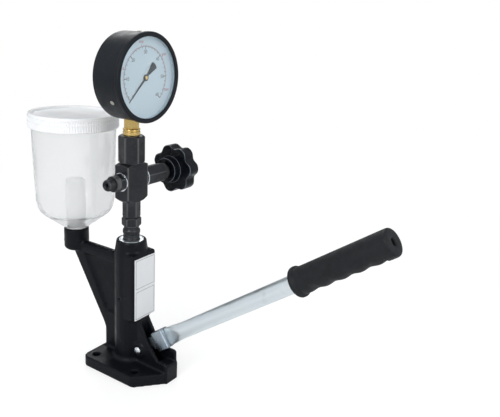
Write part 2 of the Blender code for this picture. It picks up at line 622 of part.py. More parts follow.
def as_mesh(guide):
    """Turns a curve into a closed mesh object in the same place."""
    bpy.context.scene.collection.objects.link(guide)
    bpy.context.view_layer.update()
    shaped = guide.evaluated_get(bpy.context.evaluated_depsgraph_get())
    mesh = bpy.data.meshes.new_from_object(shaped)
    work = bmesh.new()
    work.from_mesh(mesh)
    bmesh.ops.remove_doubles(work, verts=work.verts, dist=GAP / 100)
    bmesh.ops.recalc_face_normals(work, faces=work.faces)
    work.to_mesh(mesh)
    work.free()
    made = bpy.data.objects.new(guide.name + "_solid", mesh)
    made.matrix_world = guide.matrix_world.copy()
    name = guide.name
    bpy.data.objects.remove(guide)
    made.name = name
    return made


def box(name, low, high):
    """A box between two corners."""
    mesh = bpy.data.meshes.new(name)
    work = bmesh.new()
    bmesh.ops.create_cube(work, size=1)
    size = [h - l for l, h in zip(low, high)]
    middle = [(l + h) / 2 for l, h in zip(low, high)]
    bmesh.ops.scale(work, vec=size, verts=work.verts)
    bmesh.ops.translate(work, vec=middle, verts=work.verts)
    work.to_mesh(mesh)
    work.free()
    return bpy.data.objects.new(name, mesh)


def hexagon(flats, turn=0.0):
    """The outline of a hexagon with one corner at an angle from the first axis."""
    corner = flats / (2 * cos(pi / 6))
    return [(corner * cos(pi / 3 * k + turn), corner * sin(pi / 3 * k + turn)) for k in range(6)]


def hex_bar(name, flats, low, high, chamfer, turn=0.0):
    """A hexagonal bar about local Z, its corners turned off at both ends by the chamfer."""
    bar = slab(name, hexagon(flats, turn), high - low, middle=(0, 0, (low + high) / 2))
    bar.data.transform(bar.matrix_world)
    bar.matrix_world = Matrix.Identity(4)
    wide = flats / (2 * cos(pi / 6)) + chamfer
    narrow = wide - 2 * chamfer
    lathe = turned(name + "_lathe", [
        (0, high + GAP), (narrow - GAP, high + GAP), (wide, high + GAP - 2 * chamfer),
        (wide, low - GAP + 2 * chamfer), (narrow - GAP, low - GAP), (0, low - GAP)])
    return settle(common(bar, lathe))


def boolean(target, tool, operation):
    """Adds one exact Boolean to a piece. The tool stands where it cuts and is never drawn."""
    helper(tool)
    if "turn" in tool.modifiers and operation != "UNION":
        tool.matrix_world = tool.matrix_world @ Matrix.Rotation(TOOL_SPIN, 4, "Z")
    step = target.modifiers.new(operation.lower() + "_" + tool.name, "BOOLEAN")
    step.operation = operation
    step.object = tool
    return target


def cut(target, tool):
    return boolean(target, tool, "DIFFERENCE")


def join(target, tool):
    return boolean(target, tool, "UNION")


def common(target, tool):
    return boolean(target, tool, "INTERSECT")


def settle(obj):
    """Applies a piece's modifiers, so that it can be turned without its cutters."""
    bpy.context.scene.collection.objects.link(obj)
    bpy.context.view_layer.update()
    shaped = obj.evaluated_get(bpy.context.evaluated_depsgraph_get())
    mesh = bpy.data.meshes.new_from_object(shaped)
    bpy.context.scene.collection.objects.unlink(obj)
    obj.modifiers.clear()
    obj.data = mesh
    return obj


def helix(name, mean_radius, wire_radius, low, high, turns):
    """A spring's wire: a helix between two heights, worked out a turn at a time."""
    curve = bpy.data.curves.new(name, "CURVE")
    curve.dimensions = "3D"
    curve.bevel_depth = wire_radius
    curve.bevel_resolution = 1
    curve.use_fill_caps = True
    count = turns * SPRING_TURN_POINTS + 1
    spline = curve.splines.new("POLY")
    spline.points.add(count - 1)
    rise = high - low - 2 * wire_radius
    for k, point in enumerate(spline.points):
        angle = 2 * pi * k / SPRING_TURN_POINTS
        height = low + wire_radius + rise * k / (count - 1)
        point.co = (mean_radius * cos(angle), mean_radius * sin(angle), height, 1)
    print(name, "least gap between turns, mm:", round((rise / turns - 2 * wire_radius) / MM, 2))
    return as_mesh(bpy.data.objects.new(name, curve))


def lever_point(along, up):
    """A place in the lever's own plane: along the lever from the pivot, and square to it."""
    x = PIVOT_X + along * cos(LEVER_ANGLE) - up * sin(LEVER_ANGLE)
    z = PIVOT_Z + along * sin(LEVER_ANGLE) + up * cos(LEVER_ANGLE)
    return x, z


def lever_frame():
    """Local Z along the lever, local Y across it, local X square to it and downward."""
    along = Vector((cos(LEVER_ANGLE), 0, sin(LEVER_ANGLE)))
    down = Vector((sin(LEVER_ANGLE), 0, -cos(LEVER_ANGLE)))
    turn = Matrix((down, Y_AXIS, along)).transposed().to_4x4()
    return Matrix.Translation((PIVOT_X, 0, PIVOT_Z)) @ turn


def main_casting():
    """The stand in one casting: base, pump housing, lever ears, tank arm and tank holder."""
    nose = EAR_OUTER_Y - TURNED_EDGE
    base_outline = rounded([
        (BASE_REAR_X, -BASE_HALF_WIDTH, BASE_CORNER_RADIUS),
        (BASE_SIDE_END_X, -BASE_HALF_WIDTH, BASE_SHOULDER_RADIUS),
        (NOSE_FRONT_X - TURNED_EDGE, -nose, 0), (NOSE_FRONT_X - TURNED_EDGE, nose, 0),
        (BASE_SIDE_END_X, BASE_HALF_WIDTH, BASE_SHOULDER_RADIUS),
        (BASE_REAR_X, BASE_HALF_WIDTH, BASE_CORNER_RADIUS)])
    casting = slab("main_casting", base_outline, BASE_THICKNESS, middle=(0, 0, BASE_THICKNESS / 2))

    fillet = [(BODY_RADIUS + FOOT_FILLET * (1 - sin(a)), BASE_THICKNESS + FOOT_FILLET * (1 - cos(a)))
              for a in (pi / 2, pi / 3, pi / 6, 0)]
    housing = turned("housing", [
        (0, COLLAR_TOP_Z), (COLLAR_TOP_RADIUS - TURNED_EDGE, COLLAR_TOP_Z),
        (COLLAR_TOP_RADIUS, COLLAR_TOP_Z - TURNED_EDGE), (BODY_RADIUS, COLLAR_FOOT_Z)]
        + fillet + [(BODY_RADIUS + FOOT_FILLET, BASE_THICKNESS / 2), (0, BASE_THICKNESS / 2)])
    join(casting, housing)

    front_block = box("front_block", (FRONT_REAR_X, -FRONT_HALF_WIDTH, FRONT_BOTTOM_Z),
                      (FRONT_X, FRONT_HALF_WIDTH, FRONT_TOP_Z))
    edges = front_block.modifiers.new("edges", "BEVEL")
    edges.width = FRONT_EDGE
    edges.segments = 2
    join(casting, front_block)

    ear_outline = rounded([
        (0, 0, 0), (NOSE_FRONT_X, 0, 0), (NOSE_FRONT_X, NOSE_TOP_Z - NOSE_FALL, NOSE_CORNER_RADIUS),
        (NOSE_FRONT_X - GUIDE_RADIUS, NOSE_TOP_Z, 0), (EAR_TOE_X, NOSE_TOP_Z, 0),
        (EAR_KNEE_X, EAR_KNEE_Z, 0), (EAR_TOP_X, EAR_TOP_Z, 0), (0, EAR_TOP_Z, 0)])
    join(casting, slab("ears", ear_outline, 2 * EAR_OUTER_Y, Y_AXIS))
    guide_outline = rounded([
        (GUIDE_REAR_X, BASE_THICKNESS, 0), (NOSE_FRONT_X - TURNED_EDGE, BASE_THICKNESS, 0),
        (NOSE_FRONT_X - TURNED_EDGE, GUIDE_TOP_Z, GUIDE_RADIUS), (GUIDE_REAR_X, GUIDE_TOP_Z, 0)])
    guide_outer = EAR_OUTER_Y - TURNED_EDGE
    join(casting, slab("far_guide", guide_outline, guide_outer, Y_AXIS, (0, guide_outer / 2, 0)))
    boss = rod("pivot_boss", BOSS_RADIUS, -BOSS_OUTER_Y, BOSS_OUTER_Y)
    join(casting, turn_to(boss, Y_AXIS, (PIVOT_X, 0, PIVOT_Z)))

    holder = turned("holder", [
        (0, HOLDER_TOP_Z), (HOLDER_RADIUS, HOLDER_TOP_Z), (HOLDER_RADIUS, HOLDER_BOTTOM_Z + HOLDER_EDGE),
        (HOLDER_RADIUS - HOLDER_EDGE, HOLDER_BOTTOM_Z), (0, HOLDER_BOTTOM_Z)])
    join(casting, turn_to(holder, Z_AXIS, (TANK_X, 0, 0)))
    bar = rod("arm_bar", BAR_RADIUS, TANK_X, 0)
    join(casting, turn_to(bar, X_AXIS, (0, 0, BAR_Z)))
    rib_outline = [
        (RIB_TOP_OUTER_X, BAR_Z), (RIB_TOP_OUTER_X, HOLDER_BOTTOM_Z), (RIB_KNEE_X, RIB_KNEE_Z),
        (RIB_FOOT_X, RIB_FOOT_Z), (RIB_FOOT_X, BASE_THICKNESS / 2), (-TAPPET_RADIUS, BASE_THICKNESS / 2),
        (-TAPPET_RADIUS, BAR_Z)]
    join(casting, slab("arm_rib", rib_outline, 2 * RIB_HALF_WIDTH, Y_AXIS))

    pocket_outline = [(POCKET_TOP_X, POCKET_TOP_Z), (POCKET_FOOT_X, POCKET_FOOT_Z),
                      (POCKET_FRONT_X, POCKET_FOOT_Z), (POCKET_FRONT_X, POCKET_TOP_Z)]
    depth = POCKET_DEPTH + OVERRUN
    for side in (-1, 1):
        middle = side * (RIB_HALF_WIDTH - POCKET_DEPTH + depth / 2)
        cut(casting, slab("arm_pocket", pocket_outline, depth, Y_AXIS, (0, middle, 0)))

    slot_outline = [
        (SLOT_REAR_X, BASE_THICKNESS), (EAR_TOE_X - OVERRUN, BASE_THICKNESS), (EAR_TOE_X, SLOT_FRONT_Z),
        (NOSE_FRONT_X + OVERRUN, SLOT_FRONT_Z), (NOSE_FRONT_X + OVERRUN, EAR_TOP_Z + OVERRUN),
        (BODY_RADIUS + GAP, EAR_TOP_Z + OVERRUN), (BODY_RADIUS - TURNED_EDGE, SLOT_ROOF_Z),
        (SLOT_REAR_X, SLOT_ROOF_Z)]
    cut(casting, slab("lever_slot", slot_outline, 2 * SLOT_HALF_WIDTH, Y_AXIS))
    cut(casting, turned("housing_bore", [
        (0, COLLAR_TOP_Z + OVERRUN), (RING_RADIUS + GAP, COLLAR_TOP_Z + OVERRUN),
        (RING_RADIUS + GAP, COLLAR_TOP_Z - RING_HEIGHT),
        (BARREL_FLANGE_RADIUS + GAP, COLLAR_TOP_Z - RING_HEIGHT),
        (BARREL_FLANGE_RADIUS + GAP, BARREL_SEAT_Z - GAP), (TAPPET_RADIUS + GAP, BARREL_SEAT_Z - GAP),
        (TAPPET_RADIUS + GAP, TAPPET_BORE_FOOT_Z), (0, TAPPET_BORE_FOOT_Z)]))
    reach = BOSS_OUTER_Y + OVERRUN
    pin_hole = rod("pivot_hole", PIVOT_PIN_RADIUS + RUNNING, -reach, reach)
    cut(casting, turn_to(pin_hole, Y_AXIS, (PIVOT_X, 0, PIVOT_Z)))
    drain = rod("drain_hole", DRAIN_RADIUS, -BODY_RADIUS - OVERRUN, 0, SMALL_STEPS)
    cut(casting, turn_to(drain, Y_AXIS, (DRAIN_X, 0, DRAIN_Z)))
    holder_side = TANK_X - HOLDER_RADIUS
    passage = turned("feed_passage", [
        (0, 0), (PASSAGE_RADIUS, 0), (PASSAGE_RADIUS, holder_side + PLUG_LENGTH),
        (PLUG_SHANK_RADIUS + GAP, holder_side + PLUG_LENGTH),
        (PLUG_SHANK_RADIUS + GAP, holder_side + PLUG_SEAT_DEPTH),
        (PLUG_RADIUS + GAP, holder_side + PLUG_SEAT_DEPTH),
        (PLUG_RADIUS + GAP, holder_side - OVERRUN), (0, holder_side - OVERRUN)], SMALL_STEPS)
    cut(casting, turn_to(passage, X_AXIS, (0, 0, BAR_Z)))
    spigot_hole = turned("spigot_hole", [
        (0, HOLDER_TOP_Z + OVERRUN), (TANK_SPIGOT_RADIUS + GAP, HOLDER_TOP_Z + OVERRUN),
        (TANK_SPIGOT_RADIUS + GAP, HOLDER_TOP_Z - TANK_SPIGOT_LENGTH), (PASSAGE_RADIUS, BAR_Z), (0, BAR_Z)])
    cut(casting, turn_to(spigot_hole, Z_AXIS, (TANK_X, 0, 0)))
    for hole_x in (BASE_HOLE_REAR_X, BASE_HOLE_FRONT_X):
        for side in (-1, 1):
            hole = rod("base_hole", BASE_HOLE_RADIUS, -OVERRUN, BASE_THICKNESS + OVERRUN, SMALL_STEPS)
            cut(casting, turn_to(hole, Z_AXIS, (hole_x, side * BASE_HOLE_Y, 0)))
    place(casting, ENAMEL)


def pump_element():
    """What works inside the housing: tappet, plunger, spring, barrel and delivery valve."""
    nose_reach = PIVOT_X / cos(NOSE_REST_ANGLE)
    foot = PIVOT_Z - nose_reach * sin(NOSE_REST_ANGLE) + NOSE_TIP_RADIUS + GAP
    top = foot + TAPPET_HEIGHT
    floor = foot + TAPPET_FLOOR
    cup = TAPPET_RADIUS - TAPPET_WALL
    place(turned("tappet", [
        (0, floor), (cup, floor), (cup, top), (TAPPET_RADIUS, top), (TAPPET_RADIUS, foot + TURNED_EDGE),
        (TAPPET_RADIUS - TURNED_EDGE, foot), (0, foot)]), GROUND)

    base = floor + GAP
    place(turned("plunger", [
        (0, PLUNGER_TOP_Z), (PLUNGER_RADIUS, PLUNGER_TOP_Z), (PLUNGER_RADIUS, base + PLUNGER_FOOT_HEIGHT),
        (PLUNGER_FOOT_RADIUS, base + PLUNGER_FOOT_HEIGHT), (PLUNGER_FOOT_RADIUS, base), (0, base)]), GROUND)
    place(helix("plunger_spring", SPRING_MEAN_RADIUS, SPRING_WIRE_RADIUS, base, BARREL_BOTTOM_Z - GAP,
                SPRING_TURNS), SPRING_STEEL)

    bore = PLUNGER_RADIUS + RUNNING
    barrel = turned("pump_barrel", [
        (BARREL_FLANGE_RADIUS, BARREL_TOP_Z), (BARREL_FLANGE_RADIUS, BARREL_SEAT_Z),
        (TAPPET_RADIUS, BARREL_SEAT_Z), (TAPPET_RADIUS, BARREL_BOTTOM_Z),
        (bore, BARREL_BOTTOM_Z), (bore, BARREL_TOP_Z)])
    port = rod("barrel_port", PORT_RADIUS, -BARREL_FLANGE_RADIUS - OVERRUN, 0, SMALL_STEPS)
    cut(barrel, turn_to(port, X_AXIS, (0, 0, BAR_Z)))
    place(barrel, GROUND)

    seat_low = BARREL_TOP_Z + GAP
    seat_high = seat_low + VALVE_SEAT_HEIGHT
    place(sleeve("valve_seat", VALVE_SEAT_RADIUS, VALVE_GUIDE_RADIUS + RUNNING, seat_low, seat_high), GROUND)

    head_low = seat_high + GAP
    valve = turned("delivery_valve", [
        (0, head_low + VALVE_HEAD_HEIGHT), (VALVE_GUIDE_RADIUS, head_low + VALVE_HEAD_HEIGHT),
        (VALVE_HEAD_RADIUS, head_low + VALVE_HEAD_HEIGHT / 2), (VALVE_HEAD_RADIUS, head_low),
        (VALVE_GUIDE_RADIUS, head_low), (VALVE_GUIDE_RADIUS, seat_low), (0, seat_low)])
    for k in range(VALVE_FLUTES):
        angle = 2 * pi * (k + 1 / 2) / VALVE_FLUTES
        flute = rod("valve_flute", VALVE_FLUTE_RADIUS, seat_low - OVERRUN, seat_high - TURNED_EDGE,
                    SMALL_STEPS)
        at = (VALVE_GUIDE_RADIUS * cos(angle), VALVE_GUIDE_RADIUS * sin(angle), 0)
        cut(valve, turn_to(flute, Z_AXIS, at))
    place(valve, GROUND)
    place(helix("delivery_spring", VALVE_SPRING_RADIUS, VALVE_SPRING_WIRE_RADIUS,
                head_low + VALVE_HEAD_HEIGHT + GAP, CHAMBER_TOP_Z - GAP, VALVE_SPRING_TURNS), SPRING_STEEL)


def delivery_stem():
    """The threaded stem on the pump's head, its gland ring and the nut of the valve block."""
    ring_low = COLLAR_TOP_Z - RING_HEIGHT + GAP
    hole = STEM_THREAD_RADIUS + GAP
    place(turned("gland_ring", [
        (hole, COLLAR_TOP_Z), (RING_RADIUS - TURNED_EDGE, COLLAR_TOP_Z),
        (RING_RADIUS, COLLAR_TOP_Z - TURNED_EDGE), (RING_RADIUS, ring_low), (hole, ring_low)]), ZINC)

    foot = STEM_FOOT_Z
    bead = TURNED_EDGE
    place(turned("delivery_stem", [
        (STEM_SPIGOT_RADIUS, STEM_TOP_Z), (STEM_SPIGOT_RADIUS, STEM_NECK_TOP_Z),
        (STEM_NECK_RADIUS, STEM_NECK_TOP_Z), (STEM_NECK_RADIUS, STEM_BEAD_TOP_Z),
        (STEM_BEAD_RADIUS - bead, STEM_BEAD_TOP_Z), (STEM_BEAD_RADIUS, STEM_BEAD_TOP_Z - bead),
        (STEM_BEAD_RADIUS, STEM_THREAD_TOP_Z + bead), (STEM_BEAD_RADIUS - bead, STEM_THREAD_TOP_Z),
        (STEM_THREAD_RADIUS, STEM_THREAD_TOP_Z), (STEM_THREAD_RADIUS, foot),
        (SPRING_CHAMBER_RADIUS, foot), (SPRING_CHAMBER_RADIUS, CHAMBER_TOP_Z),
        (STEM_BORE_RADIUS, CHAMBER_TOP_Z), (STEM_BORE_RADIUS, STEM_TOP_Z)]), BLACKED)

    nut_low = STEM_NECK_TOP_Z + GAP
    nut_high = VALVE_HEX_BOTTOM_Z - GAP
    nut = hex_bar("union_nut", UNION_NUT_FLATS, nut_low, nut_high, UNION_NUT_CHAMFER, HEX_TURN)
    cut(nut, rod("union_nut_hole", STEM_SPIGOT_RADIUS + GAP, nut_low - OVERRUN, nut_high + OVERRUN))
    place(nut, BLACKED)


def valve_block():
    """The shut-off valve's body: a square-cut block on a hexagonal stem, drilled four ways."""
    block = box("valve_block", (-VALVE_WIDTH_X / 2, -VALVE_WIDTH_Y / 2, VALVE_BOTTOM_Z),
                (VALVE_WIDTH_X / 2, VALVE_WIDTH_Y / 2, VALVE_TOP_Z))
    wide = hypot(VALVE_WIDTH_X, VALVE_WIDTH_Y) / 2 + GAP
    foot = VALVE_HEX_FLATS / 2
    common(block, turned("valve_block_lathe", [
        (0, VALVE_TOP_Z + GAP), (VALVE_TURNED_RADIUS - GAP, VALVE_TOP_Z + GAP),
        (wide, VALVE_TOP_Z - VALVE_CHAMFER_FALL), (wide, VALVE_BOTTOM_Z + VALVE_CONE_RISE),
        (VALVE_TURNED_RADIUS, VALVE_BOTTOM_Z + VALVE_KNEE_RISE),
        (foot, VALVE_BOTTOM_Z - GAP), (0, VALVE_BOTTOM_Z - GAP)]))
    join(block, hex_bar("valve_block_hex", VALVE_HEX_FLATS, VALVE_HEX_BOTTOM_Z,
                        VALVE_BOTTOM_Z + VALVE_CONE_RISE, UNION_NUT_CHAMFER, HEX_TURN))

    top_floor = VALVE_TOP_Z - ADAPTER_SPIGOT_LENGTH - GAP
    cut(block, turned("stem_socket", [
        (0, CROSS_Z), (PIPE_BORE_RADIUS, CROSS_Z), (PIPE_BORE_RADIUS, STEM_TOP_Z + GAP),
        (STEM_SPIGOT_RADIUS + GAP, STEM_TOP_Z + GAP),
        (STEM_SPIGOT_RADIUS + GAP, VALVE_HEX_BOTTOM_Z - OVERRUN), (0, VALVE_HEX_BOTTOM_Z - OVERRUN)]))
    cut(block, rod("adapter_socket", ADAPTER_SPIGOT_RADIUS + GAP, top_floor, VALVE_TOP_Z + OVERRUN))
    side = VALVE_WIDTH_Y / 2
    shank = OUTLET_SHANK_RADIUS + GAP
    cross_bore = turned("cross_bore", [
        (0, side + OVERRUN), (shank, side + OVERRUN), (shank, side - SHANK_LENGTH - GAP),
        (CHAMBER_RADIUS, side - SHANK_LENGTH - GAP), (CHAMBER_RADIUS, NEEDLE_SEAT_Y),
        (NEEDLE_SEAT_RADIUS, NEEDLE_SEAT_Y), (NEEDLE_SEAT_RADIUS, -side + SHANK_LENGTH + GAP),
        (shank, -side + SHANK_LENGTH + GAP), (shank, -side - OVERRUN), (0, -side - OVERRUN)])
    cut(block, turn_to(cross_bore, Y_AXIS, (0, 0, CROSS_Z)))
    gauge_port = rod("gauge_port", GAUGE_PORT_RADIUS, CROSS_Z, top_floor + GAP, SMALL_STEPS)
    cut(block, turn_to(gauge_port, Z_AXIS, (0, GAUGE_PORT_Y, 0)))
    place(block, BLACKED)


def outlet():
    """The side where the injector's pipe is screwed on: seal, adapter and threaded nipple."""
    middle = (0, 0, CROSS_Z)
    face = VALVE_WIDTH_Y / 2 + GAP
    outward = -Y_AXIS
    seal = sleeve("outlet_seal", SEAL_BORE_RADIUS + OUTLET_SEAL_WIDTH, SEAL_BORE_RADIUS,
                  face, face + SEAL_THICKNESS)
    place(turn_to(seal, outward, middle), ZINC)

    hex_low = face + SEAL_THICKNESS + GAP
    hex_high = hex_low + OUTLET_HEX_LENGTH
    end = hex_high + OUTLET_STEP_LENGTH
    adapter = hex_bar("outlet_adapter", OUTLET_HEX_FLATS, hex_low, hex_high, UNION_NUT_CHAMFER)
    join(adapter, turned("adapter_round", [
        (0, end), (OUTLET_STEP_RADIUS - TURNED_EDGE, end), (OUTLET_STEP_RADIUS, end - TURNED_EDGE),
        (OUTLET_STEP_RADIUS, hex_low + TURNED_EDGE), (OUTLET_SHANK_RADIUS, hex_low + TURNED_EDGE),
        (OUTLET_SHANK_RADIUS, VALVE_WIDTH_Y / 2 - SHANK_LENGTH), (0, VALVE_WIDTH_Y / 2 - SHANK_LENGTH)]))
    thread_low = end - OUTLET_STEP_LENGTH
    cut(adapter, turned("adapter_bore", [
        (0, end + OVERRUN), (SHANK_THREAD_RADIUS + GAP, end + OVERRUN),
        (SHANK_THREAD_RADIUS + GAP, thread_low), (OUTLET_BORE_RADIUS, thread_low),
        (OUTLET_BORE_RADIUS, -OVERRUN), (0, -OVERRUN)]))
    place(turn_to(settle(adapter), outward, middle), BLACKED)

    low = end + GAP
    high = low + NIPPLE_LENGTH
    nipple = turned("outlet_nipple", [
        (OUTLET_BORE_RADIUS, high), (NIPPLE_RADIUS - NIPPLE_CHAMFER, high),
        (NIPPLE_RADIUS, high - NIPPLE_CHAMFER), (NIPPLE_RADIUS, low), (SHANK_THREAD_RADIUS, low),
        (SHANK_THREAD_RADIUS, thread_low + GAP), (OUTLET_BORE_RADIUS, thread_low + GAP)])
    place(turn_to(nipple, outward, middle), BLACKED)


def needle_valve():
    """The needle's gland with its packing and nut, the spindle, and the star knob that turns it."""
    middle = (0, 0, CROSS_Z)
    face = VALVE_WIDTH_Y / 2 + GAP
    seal = sleeve("gland_seal", SEAL_BORE_RADIUS + GLAND_SEAL_WIDTH, SEAL_BORE_RADIUS,
                  face, face + SEAL_THICKNESS)
    place(turn_to(seal, Y_AXIS, middle), ZINC)

    hex_low = GLAND_HEX_START_Y
    hex_high = hex_low + GLAND_HEX_LENGTH
    thread_end = GLAND_NUT_START_Y + GLAND_NUT_LENGTH - GLAND_NUT_FLOOR - GAP
    bore = SPINDLE_RADIUS + RUNNING
    inner_end = VALVE_WIDTH_Y / 2 - SHANK_LENGTH
    gland = hex_bar("needle_gland", GLAND_HEX_FLATS, hex_low, hex_high, UNION_NUT_CHAMFER, -GLAND_HEX_TURN)
    join(gland, turned("gland_round", [
        (0, thread_end), (GLAND_THREAD_RADIUS, thread_end), (GLAND_THREAD_RADIUS, hex_high - TURNED_EDGE),
        (OUTLET_SHANK_RADIUS, hex_high - TURNED_EDGE), (OUTLET_SHANK_RADIUS, inner_end), (0, inner_end)]))
    cut(gland, turned("gland_bore", [
        (0, thread_end + OVERRUN), (PACKING_RADIUS + GAP, thread_end + OVERRUN),
        (PACKING_RADIUS + GAP, thread_end - PACKING_LENGTH - GAP), (bore, thread_end - PACKING_LENGTH - GAP),
        (bore, 0), (0, 0)]))
    place(turn_to(settle(gland), Y_AXIS, middle), BLACKED)

    packing = sleeve("gland_packing", PACKING_RADIUS, bore, thread_end - PACKING_LENGTH, thread_end)
    place(turn_to(packing, Y_AXIS, middle), SEAL)
    nut_low = GLAND_NUT_START_Y
    nut_high = nut_low + GLAND_NUT_LENGTH
    inside = GLAND_THREAD_RADIUS + GAP
    nut_floor = thread_end + GAP
    gland_nut = turned("gland_nut", [
        (bore, nut_high), (GLAND_NUT_RADIUS - TURNED_EDGE, nut_high),
        (GLAND_NUT_RADIUS, nut_high - TURNED_EDGE), (GLAND_NUT_RADIUS, nut_low), (inside, nut_low),
        (inside, nut_floor), (bore, nut_floor)])
    place(turn_to(gland_nut, Y_AXIS, middle), BLACKED)

    tip = NEEDLE_SEAT_Y - GAP
    spindle_end = KNOB_END_Y - NEEDLE_END_DEPTH
    spindle = turned("needle_spindle", [
        (0, spindle_end), (SPINDLE_RADIUS, spindle_end), (SPINDLE_RADIUS, tip + NEEDLE_TIP_LENGTH),
        (NEEDLE_TIP_RADIUS, tip), (0, tip)])
    place(turn_to(spindle, Y_AXIS, middle), GROUND)

    outline = []
    for k in range(KNOB_LOBES * KNOB_LOBE_POINTS):
        angle = 2 * pi * k / (KNOB_LOBES * KNOB_LOBE_POINTS)
        swell = 1 - abs(sin(KNOB_LOBES * angle / 2)) ** 3
        radius = KNOB_TIP_RADIUS * (KNOB_WAIST_SHARE + (1 - KNOB_WAIST_SHARE) * swell)
        outline.append((radius * cos(angle + KNOB_TURN), radius * sin(angle + KNOB_TURN)))
    disc_middle = (0, KNOB_DISC_Y + KNOB_THICKNESS / 2, CROSS_Z)
    knob = slab("star_knob", outline, KNOB_THICKNESS, Y_AXIS, disc_middle)
    edges = knob.modifiers.new("edges", "BEVEL")
    edges.width = KNOB_EDGE
    edges.segments = 2
    edges.limit_method = "ANGLE"
    edges.angle_limit = radians(60)
    hub = turned("knob_hub", [
        (0, KNOB_DISC_Y + KNOB_EDGE), (KNOB_RISER_RADIUS, KNOB_DISC_Y + KNOB_EDGE),
        (KNOB_RISER_RADIUS, KNOB_RISER_Y), (KNOB_HUB_RADIUS, KNOB_RISER_Y),
        (KNOB_HUB_RADIUS, KNOB_HUB_START_Y), (0, KNOB_HUB_START_Y)])
    join(knob, turn_to(hub, Y_AXIS, middle))
    recess = rod("knob_recess", KNOB_RECESS_RADIUS, KNOB_END_Y - KNOB_RECESS_DEPTH, KNOB_END_Y + OVERRUN)
    cut(knob, turn_to(recess, Y_AXIS, middle))
    knob_bore = rod("knob_bore", bore, KNOB_HUB_START_Y - OVERRUN, spindle_end + GAP)
    cut(knob, turn_to(knob_bore, Y_AXIS, middle))
    place(knob, BAKELITE)
    cap_low = KNOB_END_Y - KNOB_RECESS_DEPTH + GAP
    cap = rod("knob_cap", KNOB_CAP_RADIUS, cap_low, cap_low + KNOB_CAP_HEIGHT)
    place(turn_to(cap, Y_AXIS, middle), BAKELITE)


def gauge_mounting():
    """The hexagonal adapter on the valve block and the gauge's brass socket."""
    low = VALVE_TOP_Z + GAP
    adapter = hex_bar("gauge_adapter", ADAPTER_FLATS, low, ADAPTER_TOP_Z, ADAPTER_CHAMFER, HEX_TURN)
    spigot_low = VALVE_TOP_Z - ADAPTER_SPIGOT_LENGTH
    join(adapter, rod("adapter_spigot", ADAPTER_SPIGOT_RADIUS, spigot_low, low + TURNED_EDGE))
    thread_floor = ADAPTER_TOP_Z - SOCKET_THREAD_LENGTH - GAP
    cut(adapter, turned("adapter_bore_up", [
        (0, ADAPTER_TOP_Z + OVERRUN), (SOCKET_THREAD_RADIUS + GAP, ADAPTER_TOP_Z + OVERRUN),
        (SOCKET_THREAD_RADIUS + GAP, thread_floor), (PIPE_BORE_RADIUS, thread_floor),
        (PIPE_BORE_RADIUS, spigot_low - OVERRUN), (0, spigot_low - OVERRUN)]))
    place(adapter, BLACKED)

    seat = ADAPTER_TOP_Z + GAP
    shank_low = ADAPTER_TOP_Z - SOCKET_THREAD_LENGTH
    half_groove = SOCKET_GROOVE_HEIGHT / 2
    socket = turned("gauge_socket", [
        (0, SOCKET_ROUND_TOP_Z), (SOCKET_ROUND_RADIUS, SOCKET_ROUND_TOP_Z),
        (SOCKET_ROUND_RADIUS, SOCKET_GROOVE_Z + half_groove),
        (SOCKET_GROOVE_RADIUS, SOCKET_GROOVE_Z + half_groove),
        (SOCKET_GROOVE_RADIUS, SOCKET_GROOVE_Z - half_groove),
        (SOCKET_ROUND_RADIUS, SOCKET_GROOVE_Z - half_groove), (SOCKET_ROUND_RADIUS, seat),
        (SOCKET_THREAD_RADIUS, seat), (SOCKET_THREAD_RADIUS, shank_low), (0, shank_low)])
    half = SOCKET_WIDTH / 2
    join(socket, box("socket_square", (-half, -half, SOCKET_ROUND_TOP_Z - TURNED_EDGE),
                     (half, half, SOCKET_TOP_Z)))
    cut(socket, rod("socket_bore", PIPE_BORE_RADIUS, shank_low - OVERRUN, SOCKET_BORE_TOP_Z))
    place(socket, BRASS)


